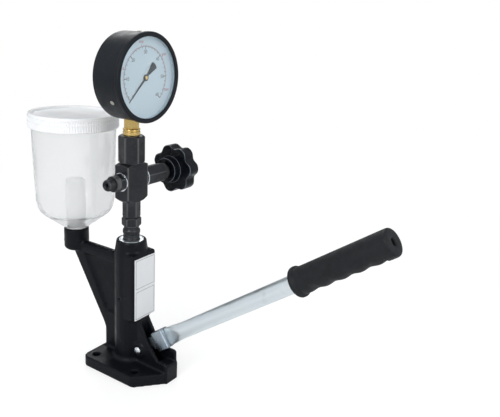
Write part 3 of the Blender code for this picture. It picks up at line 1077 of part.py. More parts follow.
def gauge():
    """The pressure gauge's case with its bezel, window, dial and pointer."""
    middle = (0, 0, GAUGE_Z)
    inside = CASE_RADIUS - CASE_WALL
    case = turned("gauge_case", [
        (0, GAUGE_REAR_X + CASE_WALL), (inside, GAUGE_REAR_X + CASE_WALL), (inside, CASE_MOUTH_X),
        (CASE_RADIUS, CASE_MOUTH_X), (CASE_RADIUS, GAUGE_REAR_X + CASE_EDGE),
        (CASE_RADIUS - CASE_EDGE, GAUGE_REAR_X), (0, GAUGE_REAR_X)], DIAL_STEPS)
    turn_to(case, X_AXIS, middle)
    half = SOCKET_WIDTH / 2 + GAP
    opening_low = GAUGE_Z - CASE_RADIUS - OVERRUN
    cut(case, box("socket_opening", (-half, -half, opening_low), (half, half, SOCKET_TOP_Z)))
    for k in range(CASE_SCREWS):
        angle = CASE_SCREW_ANGLE + 2 * pi * k / CASE_SCREWS
        outward = Vector((0, sin(angle), cos(angle)))
        at = Vector((CASE_SCREW_X, 0, GAUGE_Z))
        hole = rod("case_screw_hole", CASE_SCREW_SHANK_RADIUS + GAP, inside - OVERRUN,
                   CASE_RADIUS + OVERRUN, SMALL_STEPS)
        cut(case, turn_to(hole, outward, at))
        seat = CASE_RADIUS + GAP
        screw = turned("case_screw_" + str(k + 1), [
            (0, seat + CASE_SCREW_HEIGHT), (CASE_SCREW_RADIUS / 2, seat + CASE_SCREW_HEIGHT),
            (CASE_SCREW_RADIUS, seat + CASE_SCREW_HEIGHT / 2), (CASE_SCREW_RADIUS, seat),
            (CASE_SCREW_SHANK_RADIUS, seat), (CASE_SCREW_SHANK_RADIUS, seat - CASE_SCREW_SHANK_LENGTH),
            (0, seat - CASE_SCREW_SHANK_LENGTH)], SMALL_STEPS)
        place(turn_to(screw, outward, at), ZINC)
    place(case, CASE_BLACK)

    bezel_rear = GAUGE_FRONT_X - BEZEL_LENGTH
    lip_rear = GAUGE_FRONT_X - BEZEL_LIP
    ring = GAUGE_RADIUS - BEZEL_WALL
    bezel = turned("bezel_ring", [
        (BEZEL_OPENING_RADIUS + TURNED_EDGE, GAUGE_FRONT_X), (GAUGE_RADIUS - TURNED_EDGE, GAUGE_FRONT_X),
        (GAUGE_RADIUS, GAUGE_FRONT_X - TURNED_EDGE), (GAUGE_RADIUS, bezel_rear), (ring, bezel_rear),
        (ring, lip_rear), (BEZEL_OPENING_RADIUS, lip_rear)], DIAL_STEPS)
    place(turn_to(bezel, X_AXIS, middle), CASE_BLACK)
    glass = rod("gauge_glass", GLASS_RADIUS, lip_rear - GAP - GLASS_THICKNESS, lip_rear - GAP, DIAL_STEPS)
    place(turn_to(glass, X_AXIS, middle), GLASS)
    dial = sleeve("gauge_dial", DIAL_RADIUS, DIAL_HOLE_RADIUS, DIAL_X, DIAL_X + DIAL_THICKNESS, DIAL_STEPS)
    place(turn_to(dial, X_AXIS, middle), DIAL_WHITE)
    spacer = sleeve("dial_spacer", DIAL_RADIUS, DIAL_RADIUS - SPACER_WALL, DIAL_X + DIAL_THICKNESS + GAP,
                    CASE_MOUTH_X, DIAL_STEPS)
    place(turn_to(spacer, X_AXIS, middle), DIAL_WHITE)

    pointing = Vector((-sin(ZERO_ANGLE), cos(ZERO_ANGLE)))
    across = Vector((-pointing.y, pointing.x))
    shape = [(POINTER_LENGTH, POINTER_TIP_HALF_WIDTH), (0, POINTER_HALF_WIDTH),
             (-POINTER_WAIST, POINTER_HALF_WIDTH), (-POINTER_TAIL_LENGTH, POINTER_TAIL_HALF_WIDTH)]
    outline = [tuple(pointing * a + across * b) for a, b in shape]
    outline += [tuple(pointing * a - across * b) for a, b in reversed(shape)]
    pointer_middle = POINTER_REAR_X + POINTER_THICKNESS / 2
    pointer = slab("pointer", outline, POINTER_THICKNESS, X_AXIS, (pointer_middle, 0, GAUGE_Z))
    hub = rod("pointer_hub", POINTER_HUB_RADIUS, POINTER_REAR_X, POINTER_REAR_X + POINTER_THICKNESS)
    place(join(pointer, turn_to(hub, X_AXIS, middle)), DIAL_BLACK)
    cap_rear = POINTER_REAR_X + POINTER_THICKNESS + GAP
    cap = turned("pointer_cap", [
        (0, cap_rear + POINTER_CAP_HEIGHT), (POINTER_CAP_RADIUS - TURNED_EDGE, cap_rear + POINTER_CAP_HEIGHT),
        (POINTER_CAP_RADIUS, cap_rear + POINTER_CAP_HEIGHT - TURNED_EDGE / 2),
        (POINTER_CAP_RADIUS, cap_rear), (0, cap_rear)], SMALL_STEPS)
    place(turn_to(cap, X_AXIS, middle), DIAL_BLACK)


def movement():
    """What turns the pointer: the Bourdon tube, its link, the toothed sector and the arbor."""
    middle = (0, 0, GAUGE_Z)
    teeth = 2 * PINION_TEETH
    wheel = []
    for k in range(teeth):
        radius = PINION_RADIUS - TOOTH_DEPTH * (k % 2)
        wheel.append((radius * cos(2 * pi * k / teeth), radius * sin(2 * pi * k / teeth)))
    sector_middle = SECTOR_REAR_X + SECTOR_THICKNESS / 2
    arbor = slab("pointer_arbor", wheel, SECTOR_THICKNESS, X_AXIS, (sector_middle, 0, GAUGE_Z))
    shaft = rod("arbor_shaft", ARBOR_RADIUS, REAR_PLATE_X, POINTER_REAR_X - GAP, SMALL_STEPS)
    place(join(arbor, turn_to(shaft, X_AXIS, middle)), GROUND)

    foot_low = SOCKET_TOP_Z + GAP
    front = FRONT_PLATE_X + PLATE_THICKNESS
    half = PLATE_HALF_WIDTH
    foot_high = foot_low + FRAME_FOOT_HEIGHT
    frame = box("movement_frame", (FRAME_FOOT_REAR_X, -half, foot_low), (front, half, foot_high))
    join(frame, box("rear_plate", (REAR_PLATE_X, -half, foot_low + GAP),
                    (REAR_PLATE_X + PLATE_THICKNESS, half, PLATE_TOP_Z)))
    join(frame, box("front_plate", (FRONT_PLATE_X, -half, foot_low + GAP), (front, half, PLATE_TOP_Z)))
    inset = PLATE_THICKNESS / 2
    pillar = rod("frame_pillar", PILLAR_RADIUS, REAR_PLATE_X + inset, front - inset, SMALL_STEPS)
    join(frame, turn_to(pillar, X_AXIS, (0, 0, PILLAR_Z)))
    pin = rod("sector_pin", SECTOR_PIN_RADIUS, REAR_PLATE_X + inset, front - inset, SMALL_STEPS)
    join(frame, turn_to(pin, X_AXIS, (0, 0, SECTOR_PIVOT_Z)))
    for side in (-1, 1):
        post = rod("dial_post", PILLAR_RADIUS, front - inset, DIAL_X - GAP, SMALL_STEPS)
        join(frame, turn_to(post, X_AXIS, (0, side * (half - PILLAR_RADIUS - PLATE_THICKNESS), PILLAR_Z)))
    hole = rod("arbor_hole", ARBOR_RADIUS + RUNNING, REAR_PLATE_X - OVERRUN, front + OVERRUN)
    cut(frame, turn_to(hole, X_AXIS, middle))
    place(frame, BRASS)

    reach = GAUGE_Z - SECTOR_PIVOT_Z - PINION_RADIUS - GAP
    pitch = PINION_RADIUS + GAP / 2
    half_travel = POINTER_SWEEP * pitch / (GAUGE_Z - SECTOR_PIVOT_Z - pitch) / 2
    count = 2 * round(SECTOR_HALF_ANGLE / SECTOR_TOOTH_ANGLE)
    outline = []
    for k in range(count + 1):
        angle = half_travel + SECTOR_HALF_ANGLE * (1 - 2 * k / count)
        radius = reach - TOOTH_DEPTH * (k % 2)
        outline.append((radius * sin(angle), radius * cos(angle)))
    tail = SECTOR_HUB_RADIUS / 2
    for u, v in ((-SECTOR_HUB_RADIUS, 0), (-tail, -SECTOR_TAIL_LENGTH), (tail, -SECTOR_TAIL_LENGTH),
                 (SECTOR_HUB_RADIUS, 0)):
        outline.append((u * cos(half_travel) + v * sin(half_travel),
                        v * cos(half_travel) - u * sin(half_travel)))
    sector = slab("sector_gear", outline, SECTOR_THICKNESS, X_AXIS, (sector_middle, 0, SECTOR_PIVOT_Z))
    sector_hub = rod("sector_hub", SECTOR_HUB_RADIUS, SECTOR_REAR_X, SECTOR_REAR_X + SECTOR_THICKNESS)
    join(sector, turn_to(sector_hub, X_AXIS, (0, 0, SECTOR_PIVOT_Z)))
    pin_hole = rod("sector_hole", SECTOR_PIN_RADIUS + RUNNING, SECTOR_REAR_X - OVERRUN, front)
    cut(sector, turn_to(pin_hole, X_AXIS, (0, 0, SECTOR_PIVOT_Z)))
    place(sector, BRASS)
    print("pointer travel over sector travel:", round(POINTER_SWEEP / (2 * half_travel), 4),
          "sector travel, degrees:", round(2 * half_travel * 180 / pi, 2))

    arc = []
    for radius, steps in ((BOURDON_MID_RADIUS + BOURDON_BAND / 2, range(BOURDON_STEPS + 1)),
                          (BOURDON_MID_RADIUS - BOURDON_BAND / 2, range(BOURDON_STEPS, -1, -1))):
        for k in steps:
            angle = BOURDON_START + BOURDON_SPAN * k / BOURDON_STEPS
            arc.append((radius * cos(angle), radius * sin(angle)))
    place(slab("bourdon_tube", arc, BOURDON_WIDTH, X_AXIS, middle), BRONZE)

    tip = BOURDON_START + BOURDON_SPAN - LINK_PIN_INSET / BOURDON_MID_RADIUS
    tip_y = BOURDON_MID_RADIUS * cos(tip)
    tip_z = GAUGE_Z + BOURDON_MID_RADIUS * sin(tip)
    tail_y = -SECTOR_TAIL_LENGTH * sin(half_travel)
    tail_z = SECTOR_PIVOT_Z - SECTOR_TAIL_LENGTH * cos(half_travel)
    along = Vector((tail_y - tip_y, tail_z - tip_z)).normalized() * LINK_WIDTH / 2
    side = Vector((-along.y, along.x))
    ends = ((tip_y, tip_z, -along + side), (tip_y, tip_z, -along - side),
            (tail_y, tail_z, along - side), (tail_y, tail_z, along + side))
    bar = [(y + step.x, z + step.y) for y, z, step in ends]
    link_middle = LINK_REAR_X + LINK_THICKNESS / 2
    link = slab("bourdon_link", bar, LINK_THICKNESS, X_AXIS, (link_middle, 0, 0))
    stud = rod("link_stud", LINK_PIN_RADIUS, BOURDON_WIDTH / 2 + GAP, link_middle, SMALL_STEPS)
    place(join(link, turn_to(stud, X_AXIS, (0, tip_y, tip_z))), BRASS)


def fuel_tank():
    """The clear cup on its holder, with its seal, standpipe filter and screwed lid, and the plug."""
    seal_low = HOLDER_TOP_Z + GAP
    floor_low = seal_low + TANK_SEAL_HEIGHT + GAP
    seal = sleeve("tank_seal", TANK_SEAL_RADIUS, TANK_SPIGOT_RADIUS + GAP,
                  seal_low, seal_low + TANK_SEAL_HEIGHT)
    place(turn_to(seal, Z_AXIS, (TANK_X, 0, 0)), SEAL)

    outside = [(TANK_TOP_RADIUS, TANK_TOP_Z), (TANK_KNEE_RADIUS, TANK_KNEE_Z)]
    draw_in = TANK_KNEE_RADIUS - TANK_SHOULDER_RADIUS
    drop = TANK_KNEE_Z - TANK_SHOULDER_Z
    for share in KNEE_SHARES:
        outside.append((TANK_KNEE_RADIUS - draw_in * (1 - cos(share * pi / 2)),
                        TANK_KNEE_Z - drop * sin(share * pi / 2)))
    outside.append((TANK_NECK_RADIUS, floor_low))
    inner_floor = floor_low + TANK_FLOOR
    cone_rise = (TANK_SHOULDER_Z - floor_low) / (TANK_SHOULDER_RADIUS - TANK_NECK_RADIUS)
    inside = [(r - TANK_WALL, max(z, inner_floor)) for r, z in reversed(outside[:-1])]
    inner_foot = inside[0][0] - (inside[0][1] - inner_floor) / cone_rise
    spigot_low = HOLDER_TOP_Z - TANK_SPIGOT_LENGTH + GAP
    floor = [(TANK_OUTLET_RADIUS, inner_floor), (inner_foot, inner_floor)]
    spigot = [(TANK_SPIGOT_RADIUS, floor_low), (TANK_SPIGOT_RADIUS, spigot_low),
              (TANK_OUTLET_RADIUS, spigot_low)]
    cup = turned("tank_cup", floor + inside + outside + spigot, TANK_STEPS)
    place(turn_to(cup, Z_AXIS, (TANK_X, 0, 0)), CLEAR)

    low = inner_floor + GAP
    filter_tube = turned("tank_filter", [
        (0, FILTER_TOP_Z), (FILTER_RADIUS - TURNED_EDGE, FILTER_TOP_Z),
        (FILTER_RADIUS, FILTER_TOP_Z - TURNED_EDGE), (FILTER_RADIUS, low), (FILTER_RADIUS - FILTER_WALL, low),
        (FILTER_RADIUS - FILTER_WALL, FILTER_TOP_Z - FILTER_WALL), (0, FILTER_TOP_Z - FILTER_WALL)])
    turn_to(filter_tube, Z_AXIS, (TANK_X, 0, 0))
    hole = rod("filter_hole", FILTER_HOLE_RADIUS, -FILTER_RADIUS - OVERRUN, 0, SMALL_STEPS)
    cut(filter_tube, turn_to(hole, Y_AXIS, (TANK_X, 0, FILTER_TOP_Z - FILTER_HOLE_DEPTH)))
    place(filter_tube, FILTER_WHITE)

    recess = LID_RADIUS - LID_RIM_WIDTH
    plate = LID_TOP_Z - LID_RECESS_DEPTH
    skirt = LID_RADIUS - LID_WALL
    lid = turned("tank_lid", [
        (0, plate), (recess, plate), (recess, LID_TOP_Z), (LID_RADIUS - TURNED_EDGE, LID_TOP_Z),
        (LID_RADIUS, LID_TOP_Z - TURNED_EDGE), (LID_RADIUS, LID_BOTTOM_Z), (skirt, LID_BOTTOM_Z),
        (skirt, TANK_TOP_Z + GAP), (recess - LID_WALL, TANK_TOP_Z + GAP),
        (recess - LID_WALL, plate - LID_WALL), (0, plate - LID_WALL)], TANK_STEPS)
    place(turn_to(lid, Z_AXIS, (TANK_X, 0, 0)), CLEAR)

    side = TANK_X - HOLDER_RADIUS
    seat = side + PLUG_SEAT_DEPTH - GAP
    plug = turned("holder_plug", [
        (0, side + PLUG_LENGTH - GAP), (PLUG_SHANK_RADIUS, side + PLUG_LENGTH - GAP),
        (PLUG_SHANK_RADIUS, seat), (PLUG_RADIUS, seat), (PLUG_RADIUS, side - PLUG_PROUD + TURNED_EDGE),
        (PLUG_RADIUS - TURNED_EDGE, side - PLUG_PROUD), (0, side - PLUG_PROUD)])
    place(turn_to(plug, X_AXIS, (0, 0, BAR_Z)), BLACKED)


def label_plate():
    """The bare plate on the flat front of the housing."""
    w = LABEL_HALF_WIDTH
    outline = rounded([(-w, LABEL_BOTTOM_Z, LABEL_CORNER), (w, LABEL_BOTTOM_Z, LABEL_CORNER),
                       (w, LABEL_TOP_Z, LABEL_CORNER), (-w, LABEL_TOP_Z, LABEL_CORNER)])
    middle = FRONT_X + GAP + LABEL_THICKNESS / 2
    place(slab("label_plate", outline, LABEL_THICKNESS, X_AXIS, (middle, 0, 0)), LABEL)


def lever_pivot():
    """The pin that the lever swings on, and the nut that keeps it in the ears."""
    seat = BOSS_OUTER_Y + GAP
    end = seat + PIVOT_NUT_HEIGHT + TURNED_EDGE
    pin = turned("pivot_pin", [
        (0, end), (PIVOT_PIN_RADIUS - TURNED_EDGE, end), (PIVOT_PIN_RADIUS, end - TURNED_EDGE),
        (PIVOT_PIN_RADIUS, -seat), (PIVOT_HEAD_RADIUS, -seat),
        (PIVOT_HEAD_RADIUS, -seat - PIVOT_HEAD_HEIGHT + TURNED_EDGE),
        (PIVOT_HEAD_RADIUS - TURNED_EDGE, -seat - PIVOT_HEAD_HEIGHT), (0, -seat - PIVOT_HEAD_HEIGHT)])
    place(turn_to(pin, Y_AXIS, (PIVOT_X, 0, PIVOT_Z)), ZINC)
    nut = hex_bar("pivot_nut", PIVOT_NUT_FLATS, seat, seat + PIVOT_NUT_HEIGHT, TURNED_EDGE)
    cut(nut, rod("pivot_nut_hole", PIVOT_PIN_RADIUS + GAP, seat - OVERRUN, seat + PIVOT_NUT_HEIGHT + OVERRUN))
    place(turn_to(settle(nut), Y_AXIS, (PIVOT_X, 0, PIVOT_Z)), ZINC)


def lever_head():
    """The lever's forged head: a nose under the tappet, a tongue on the pin and a socket for the tube."""
    pivot = (PIVOT_X, 0, PIVOT_Z)
    width = 2 * TONGUE_HALF_WIDTH
    rise = TONGUE_HALF_HEIGHT
    reach = PIVOT_X / cos(NOSE_REST_ANGLE)
    tip_z = PIVOT_Z - reach * sin(NOSE_REST_ANGLE)
    over_tip = NOSE_REST_ANGLE + asin(NOSE_NECK_HEIGHT / NOSE_TIP_RADIUS)
    under_tip = NOSE_REST_ANGLE + 3 * pi / 2
    outline = []
    for k in range(NOSE_POINTS + 1):
        angle = over_tip + (under_tip - over_tip) * k / NOSE_POINTS
        outline.append((NOSE_TIP_RADIUS * cos(angle), tip_z + NOSE_TIP_RADIUS * sin(angle)))
    for k in range(ARC_STEPS + 1):
        angle = NOSE_REST_ANGLE - pi / 2 + (LEVER_ANGLE - NOSE_REST_ANGLE) * k / ARC_STEPS
        outline.append((PIVOT_X + rise * cos(angle), PIVOT_Z + rise * sin(angle)))
    overlap = HEAD_START + HEAD_EDGE
    outline += [lever_point(overlap, -rise), lever_point(overlap, rise), lever_point(0, rise)]
    lean_x = cos(NOSE_REST_ANGLE)
    lean_z = sin(NOSE_REST_ANGLE)
    outline.append((NOSE_NECK_LENGTH * lean_x - NOSE_NECK_HEIGHT * lean_z,
                    tip_z + NOSE_NECK_LENGTH * lean_z + NOSE_NECK_HEIGHT * lean_x))
    head = slab("lever_head", [(x - PIVOT_X, z - PIVOT_Z) for x, z in outline], width, Y_AXIS, pivot)

    block = box("lever_block", (-HEAD_HALF_HEIGHT, HEAD_NEAR_Y, HEAD_START),
                (HEAD_HALF_HEIGHT, TONGUE_HALF_WIDTH - GAP, HEAD_END))
    edges = block.modifiers.new("edges", "BEVEL")
    edges.width = HEAD_EDGE
    edges.segments = 2
    block.matrix_world = lever_frame()
    join(head, block)

    tall = FLAT_HALF_HEIGHT + GAP
    flat = FLAT_HALF_WIDTH + GAP
    socket = box("tube_socket", (-tall, -flat, FLAT_START - GAP), (tall, flat, HEAD_END + OVERRUN))
    socket.matrix_world = lever_frame()
    cut(head, socket)
    hole = rod("lever_pin_hole", PIVOT_PIN_RADIUS + RUNNING, -width, width)
    cut(head, turn_to(hole, Y_AXIS, pivot))
    place(head, ZINC)


def lever_tube():
    """The lever's tube: round, with its lower end pressed flat. A loft between unlike rings."""
    stations = [(FLAT_START, 0.0), (FLAT_END, 0.0)]
    for k in range(1, TUBE_FLARE_STEPS + 1):
        share = k / TUBE_FLARE_STEPS
        stations.append((FLAT_END + (TUBE_ROUND_START - FLAT_END) * share, share * share * (3 - 2 * share)))
    stations.append((TUBE_END, 1.0))

    work = bmesh.new()
    rings = []
    for along, share in stations:
        for wall in (0, TUBE_WALL):
            tall = FLAT_HALF_HEIGHT + (TUBE_RADIUS - FLAT_HALF_HEIGHT) * share - wall
            flat = FLAT_HALF_WIDTH + (TUBE_RADIUS - FLAT_HALF_WIDTH) * share - wall
            power = 2 / (FLAT_POWER + (2 - FLAT_POWER) * share)
            ring = []
            for k in range(TUBE_SIDES):
                angle = 2 * pi * k / TUBE_SIDES
                c = cos(angle)
                s = sin(angle)
                u = tall * abs(c) ** power * (1 if c > 0 else -1)
                v = flat * abs(s) ** power * (1 if s > 0 else -1)
                ring.append(work.verts.new((u, v, along)))
            rings.append(ring)
    for i in range(0, len(rings) - 2, 2):
        for a, b in ((rings[i], rings[i + 2]), (rings[i + 3], rings[i + 1])):
            for k in range(TUBE_SIDES):
                n = (k + 1) % TUBE_SIDES
                work.faces.new((a[k], a[n], b[n], b[k]))
    for outer, inner in ((rings[1], rings[0]), (rings[-2], rings[-1])):
        for k in range(TUBE_SIDES):
            n = (k + 1) % TUBE_SIDES
            work.faces.new((outer[k], outer[n], inner[n], inner[k]))
    mesh = bpy.data.meshes.new("lever_tube")
    work.to_mesh(mesh)
    work.free()
    tube = bpy.data.objects.new("lever_tube", mesh)
    tube.matrix_world = lever_frame()
    place(tube, ZINC)


def lever_grip():
    """The moulded grip pushed over the tube, with a flange, shallow finger waves and an end hole."""
    inner = TUBE_RADIUS + GAP
    flange_end = GRIP_START + GRIP_FLANGE_LENGTH
    body_start = flange_end + (GRIP_FLANGE_RADIUS - GRIP_RADIUS)
    body_end = GRIP_END - GRIP_END_ROUND
    waves = []
    count = GRIP_WAVES * GRIP_WAVE_POINTS
    for k in range(count + 1):
        dip = GRIP_WAVE * (1 - cos(2 * pi * k / GRIP_WAVE_POINTS)) / 2
        waves.append((GRIP_RADIUS - dip, body_end + (body_start - body_end) * k / count))
    profile = [(GRIP_END_HOLE_RADIUS, GRIP_END), (GRIP_RADIUS - GRIP_END_ROUND, GRIP_END)] + waves + [
        (GRIP_FLANGE_RADIUS, flange_end), (GRIP_FLANGE_RADIUS, GRIP_START + TURNED_EDGE),
        (GRIP_FLANGE_RADIUS - TURNED_EDGE, GRIP_START), (inner, GRIP_START),
        (inner, GRIP_END - GRIP_END_WALL), (GRIP_END_HOLE_RADIUS, GRIP_END - GRIP_END_WALL)]
    grip = turned("lever_grip", profile)
    grip.matrix_world = lever_frame()
    place(grip, RUBBER)


main_casting()
pump_element()
delivery_stem()
valve_block()
outlet()
needle_valve()
gauge_mounting()
gauge()
movement()
fuel_tank()
label_plate()
lever_pivot()
lever_head()
lever_tube()
lever_grip()
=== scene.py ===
"""Looks of a diesel injector tester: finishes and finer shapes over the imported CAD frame."""

import bmesh
import bpy
import json
import numpy as np
from mathutils import Matrix, Vector


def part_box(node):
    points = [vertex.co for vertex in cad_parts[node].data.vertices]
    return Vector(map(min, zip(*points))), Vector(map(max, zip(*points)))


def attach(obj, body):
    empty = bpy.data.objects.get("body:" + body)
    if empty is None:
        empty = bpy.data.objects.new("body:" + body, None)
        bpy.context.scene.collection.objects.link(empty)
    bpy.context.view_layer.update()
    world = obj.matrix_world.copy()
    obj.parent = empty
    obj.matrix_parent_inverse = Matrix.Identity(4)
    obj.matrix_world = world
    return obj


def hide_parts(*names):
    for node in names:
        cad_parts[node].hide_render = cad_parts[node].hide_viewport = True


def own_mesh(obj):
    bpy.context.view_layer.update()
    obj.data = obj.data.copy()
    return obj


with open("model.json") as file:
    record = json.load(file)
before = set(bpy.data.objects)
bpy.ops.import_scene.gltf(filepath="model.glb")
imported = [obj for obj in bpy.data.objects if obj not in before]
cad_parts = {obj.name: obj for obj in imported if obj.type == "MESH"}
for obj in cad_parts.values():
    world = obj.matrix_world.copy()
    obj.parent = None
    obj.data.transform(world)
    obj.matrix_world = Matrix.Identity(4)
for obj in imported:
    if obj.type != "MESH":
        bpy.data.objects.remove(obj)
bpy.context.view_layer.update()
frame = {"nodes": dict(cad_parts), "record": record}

MM = 0.001

# The studio: a pale floor, a white surround, two soft boxes, a lamp behind the object and a dark
# card that only mirroring parts see. The camera stands where the photograph was taken from, a
# little above the lever's end, and its lens shift puts the object where the photograph has it.
IMAGE_WIDTH = 500
FOCAL_PIXELS = 621.6
CAMERA_PLACE = Vector((490.4, -519.5, 433.2)) * MM
CAMERA_YAW = 0.6012
CAMERA_PITCH = 0.2817
CAMERA_ROLL = 0.0445
LENS_SHIFT = (0.05, -0.027)

scene = bpy.context.scene
lens = bpy.data.cameras.new("studio_lens")
lens.sensor_width = 36
lens.lens = lens.sensor_width * FOCAL_PIXELS / IMAGE_WIDTH
lens.shift_x, lens.shift_y = LENS_SHIFT
lens.clip_start = 0.01
lens.clip_end = 50
camera = bpy.data.objects.new("studio_camera", lens)
scene.collection.objects.link(camera)
scene.camera = camera
ahead = Vector((-np.sin(CAMERA_YAW) * np.cos(CAMERA_PITCH),
                np.cos(CAMERA_YAW) * np.cos(CAMERA_PITCH), -np.sin(CAMERA_PITCH)))
level_right = Vector((np.cos(CAMERA_YAW), np.sin(CAMERA_YAW), 0))
level_up = level_right.cross(ahead)
right = level_right * np.cos(CAMERA_ROLL) + level_up * np.sin(CAMERA_ROLL)
up = level_up * np.cos(CAMERA_ROLL) - level_right * np.sin(CAMERA_ROLL)
camera.matrix_world = Matrix.Translation(CAMERA_PLACE) @ Matrix((right, up, -ahead)).transposed().to_4x4()


def soft_box(name, place, aim, width, height, watts):
    """A rectangular lamp at place whose face is turned to aim."""
    lamp = bpy.data.lights.new(name, "AREA")
    lamp.shape = "RECTANGLE"
    lamp.size = width
    lamp.size_y = height
    lamp.energy = watts
    holder = bpy.data.objects.new(name, lamp)
    scene.collection.objects.link(holder)
    holder.location = place
    holder.rotation_euler = (Vector(place) - Vector(aim)).to_track_quat("Z", "Y").to_euler()
    return holder


MIDDLE = (0.03, 0, 0.2)
soft_box("key_box", (0.15, -1.25, 0.95), MIDDLE, 0.5, 1.0, 8.5)
soft_box("side_box", (1.35, -0.1, 0.75), MIDDLE, 0.5, 0.9, 5.5)
soft_box("back_box", (-0.9, 0.9, 1.1), MIDDLE, 0.8, 0.5, 6.0)


def joined(tree, kind, **sockets):
    """A new node of that kind; each named socket takes another node's output or a plain value."""
    node = tree.nodes.new(kind)
    for label, value in sockets.items():
        socket = node.inputs[label.replace("_", " ")]
        if isinstance(value, bpy.types.NodeSocket):
            tree.links.new(value, socket)
        else:
            socket.default_value = value
    return node


def blended(tree, share, first, second):
    """A shader that turns from the first into the second as share goes from 0 to 1."""
    node = joined(tree, "ShaderNodeMixShader", Fac=share)
    tree.links.new(first.outputs[0], node.inputs[1])
    tree.links.new(second.outputs[0], node.inputs[2])
    return node


def reckoned(tree, operation, first, second):
    """The result of one operation, such as MAXIMUM or MULTIPLY, on two sockets."""
    node = tree.nodes.new("ShaderNodeMath")
    node.operation = operation
    tree.links.new(first, node.inputs[0])
    tree.links.new(second, node.inputs[1])
    return node.outputs[0]


def seen_rays(tree):
    """Two sockets: 1 for what is seen straight or through glass, and 1 for what is mirrored."""
    path = tree.nodes.new("ShaderNodeLightPath").outputs
    straight = reckoned(tree, "MAXIMUM", path["Is Camera Ray"], path["Is Transmission Ray"])
    return straight, path["Is Glossy Ray"]


def between(tree, value, start, end, low=0.0, high=1.0, curve="SMOOTHSTEP"):
    """Low where a socket's value is at start, high where it is at end, and a curve or a straight
    line between them."""
    ranged = joined(tree, "ShaderNodeMapRange", Value=value, From_Min=start, From_Max=end,
                    To_Min=low, To_Max=high)
    ranged.interpolation_type = curve
    return ranged.outputs["Result"]


CARD_DIRECTION = (-0.66, 0.75, 0)
CARD_SPREAD = (0.35, 0.75)
CARD_RISE = (0.80, 0.45)
MIRRORED_SKY = (0.86, 0.90, 0.94, 1)
MIRRORED_CARD = (0.11, 0.12, 0.13, 1)
world = bpy.data.worlds.new("studio_air")
scene.world = world
world.use_nodes = True
tree = world.node_tree
tree.nodes.clear()
seen, mirrored = seen_rays(tree)
sky = tree.nodes.new("ShaderNodeTexCoord").outputs["Generated"]
rise = joined(tree, "ShaderNodeSeparateXYZ", Vector=sky).outputs["Z"]
behind = tree.nodes.new("ShaderNodeVectorMath")
behind.operation = "DOT_PRODUCT"
tree.links.new(sky, behind.inputs[0])
behind.inputs[1].default_value = CARD_DIRECTION
card = reckoned(tree, "MULTIPLY", between(tree, behind.outputs["Value"], *CARD_SPREAD),
                between(tree, rise, *CARD_RISE))
glint = tree.nodes.new("ShaderNodeMix")
glint.data_type = "RGBA"
glint.inputs[6].default_value = MIRRORED_SKY
glint.inputs[7].default_value = MIRRORED_CARD
tree.links.new(card, glint.inputs["Factor"])
lit = joined(tree, "ShaderNodeBackground", Color=(0.96, 0.98, 1.0, 1), Strength=0.62)
shine = joined(tree, "ShaderNodeBackground", Color=glint.outputs[2], Strength=0.9)
white = joined(tree, "ShaderNodeBackground", Color=(1, 1, 1, 1), Strength=1.0)
air = blended(tree, seen, blended(tree, mirrored, lit, shine), white)
tree.links.new(air.outputs[0], tree.nodes.new("ShaderNodeOutputWorld").inputs["Surface"])

FLOOR_REACH = 12.0
WHITE_FLOOR_REACH = (0.3, 1.1)
floor_mesh = bpy.data.meshes.new("studio_floor")
floor_mesh.from_pydata([(-FLOOR_REACH, -FLOOR_REACH, 0), (FLOOR_REACH, -FLOOR_REACH, 0),
                        (FLOOR_REACH, FLOOR_REACH, 0), (-FLOOR_REACH, FLOOR_REACH, 0)], [], [(0, 1, 2, 3)])
floor = bpy.data.objects.new("studio_floor", floor_mesh)
scene.collection.objects.link(floor)
floor_paint = bpy.data.materials.new("studio_floor_paint")
floor_paint.use_nodes = True
tree = floor_paint.node_tree
tree.nodes.clear()
seen = seen_rays(tree)[0]
matt = joined(tree, "ShaderNodeBsdfDiffuse", Color=(0.80, 0.81, 0.82, 1))
veil = joined(tree, "ShaderNodeBsdfDiffuse", Color=(0.40, 0.40, 0.40, 1))
glow = joined(tree, "ShaderNodeEmission", Color=(1, 1, 1, 1), Strength=0.66)
near = tree.nodes.new("ShaderNodeAddShader")
tree.links.new(veil.outputs[0], near.inputs[0])
tree.links.new(glow.outputs[0], near.inputs[1])
spot = tree.nodes.new("ShaderNodeVectorMath")
spot.operation = "LENGTH"
tree.links.new(tree.nodes.new("ShaderNodeTexCoord").outputs["Object"], spot.inputs[0])
far = joined(tree, "ShaderNodeEmission", Color=(1, 1, 1, 1), Strength=1.0)
shown = blended(tree, between(tree, spot.outputs["Value"], *WHITE_FLOOR_REACH), near, far)
pick = blended(tree, seen, matt, shown)
tree.links.new(pick.outputs[0], tree.nodes.new("ShaderNodeOutputMaterial").inputs["Surface"])
floor_mesh.materials.append(floor_paint)
scene.view_settings.view_transform = "Standard"


# The stand: one iron casting with base, pump housing, label block, lever ears and tank arm.
# Cast in sand, so every inner corner has a fillet and every edge is soft, then fettled,
# bored and stove-enamelled black. The enamel pools a little and shows a fine orange peel.
home = {node: body for body, nodes in frame["record"]["behaviour"]["bodies"].items() for node in nodes}
CAST_GRAIN = 1.25 * MM
CAST_SOFTENING = 6
SAME_POINT = 0.002 * MM
SAME_PLANE = 0.01


def new_finish(name, colour, roughness, metallic=0.0, **sockets):
    """A Principled material. The other sockets are plain values on its shader."""
    made = bpy.data.materials.new(name)
    made.use_nodes = True
    shader = made.node_tree.nodes["Principled BSDF"]
    shader.inputs["Base Color"].default_value = (*colour, 1)
    shader.inputs["Roughness"].default_value = roughness
    shader.inputs["Metallic"].default_value = metallic
    for label, value in sockets.items():
        shader.inputs[label.replace("_", " ")].default_value = value
    return made


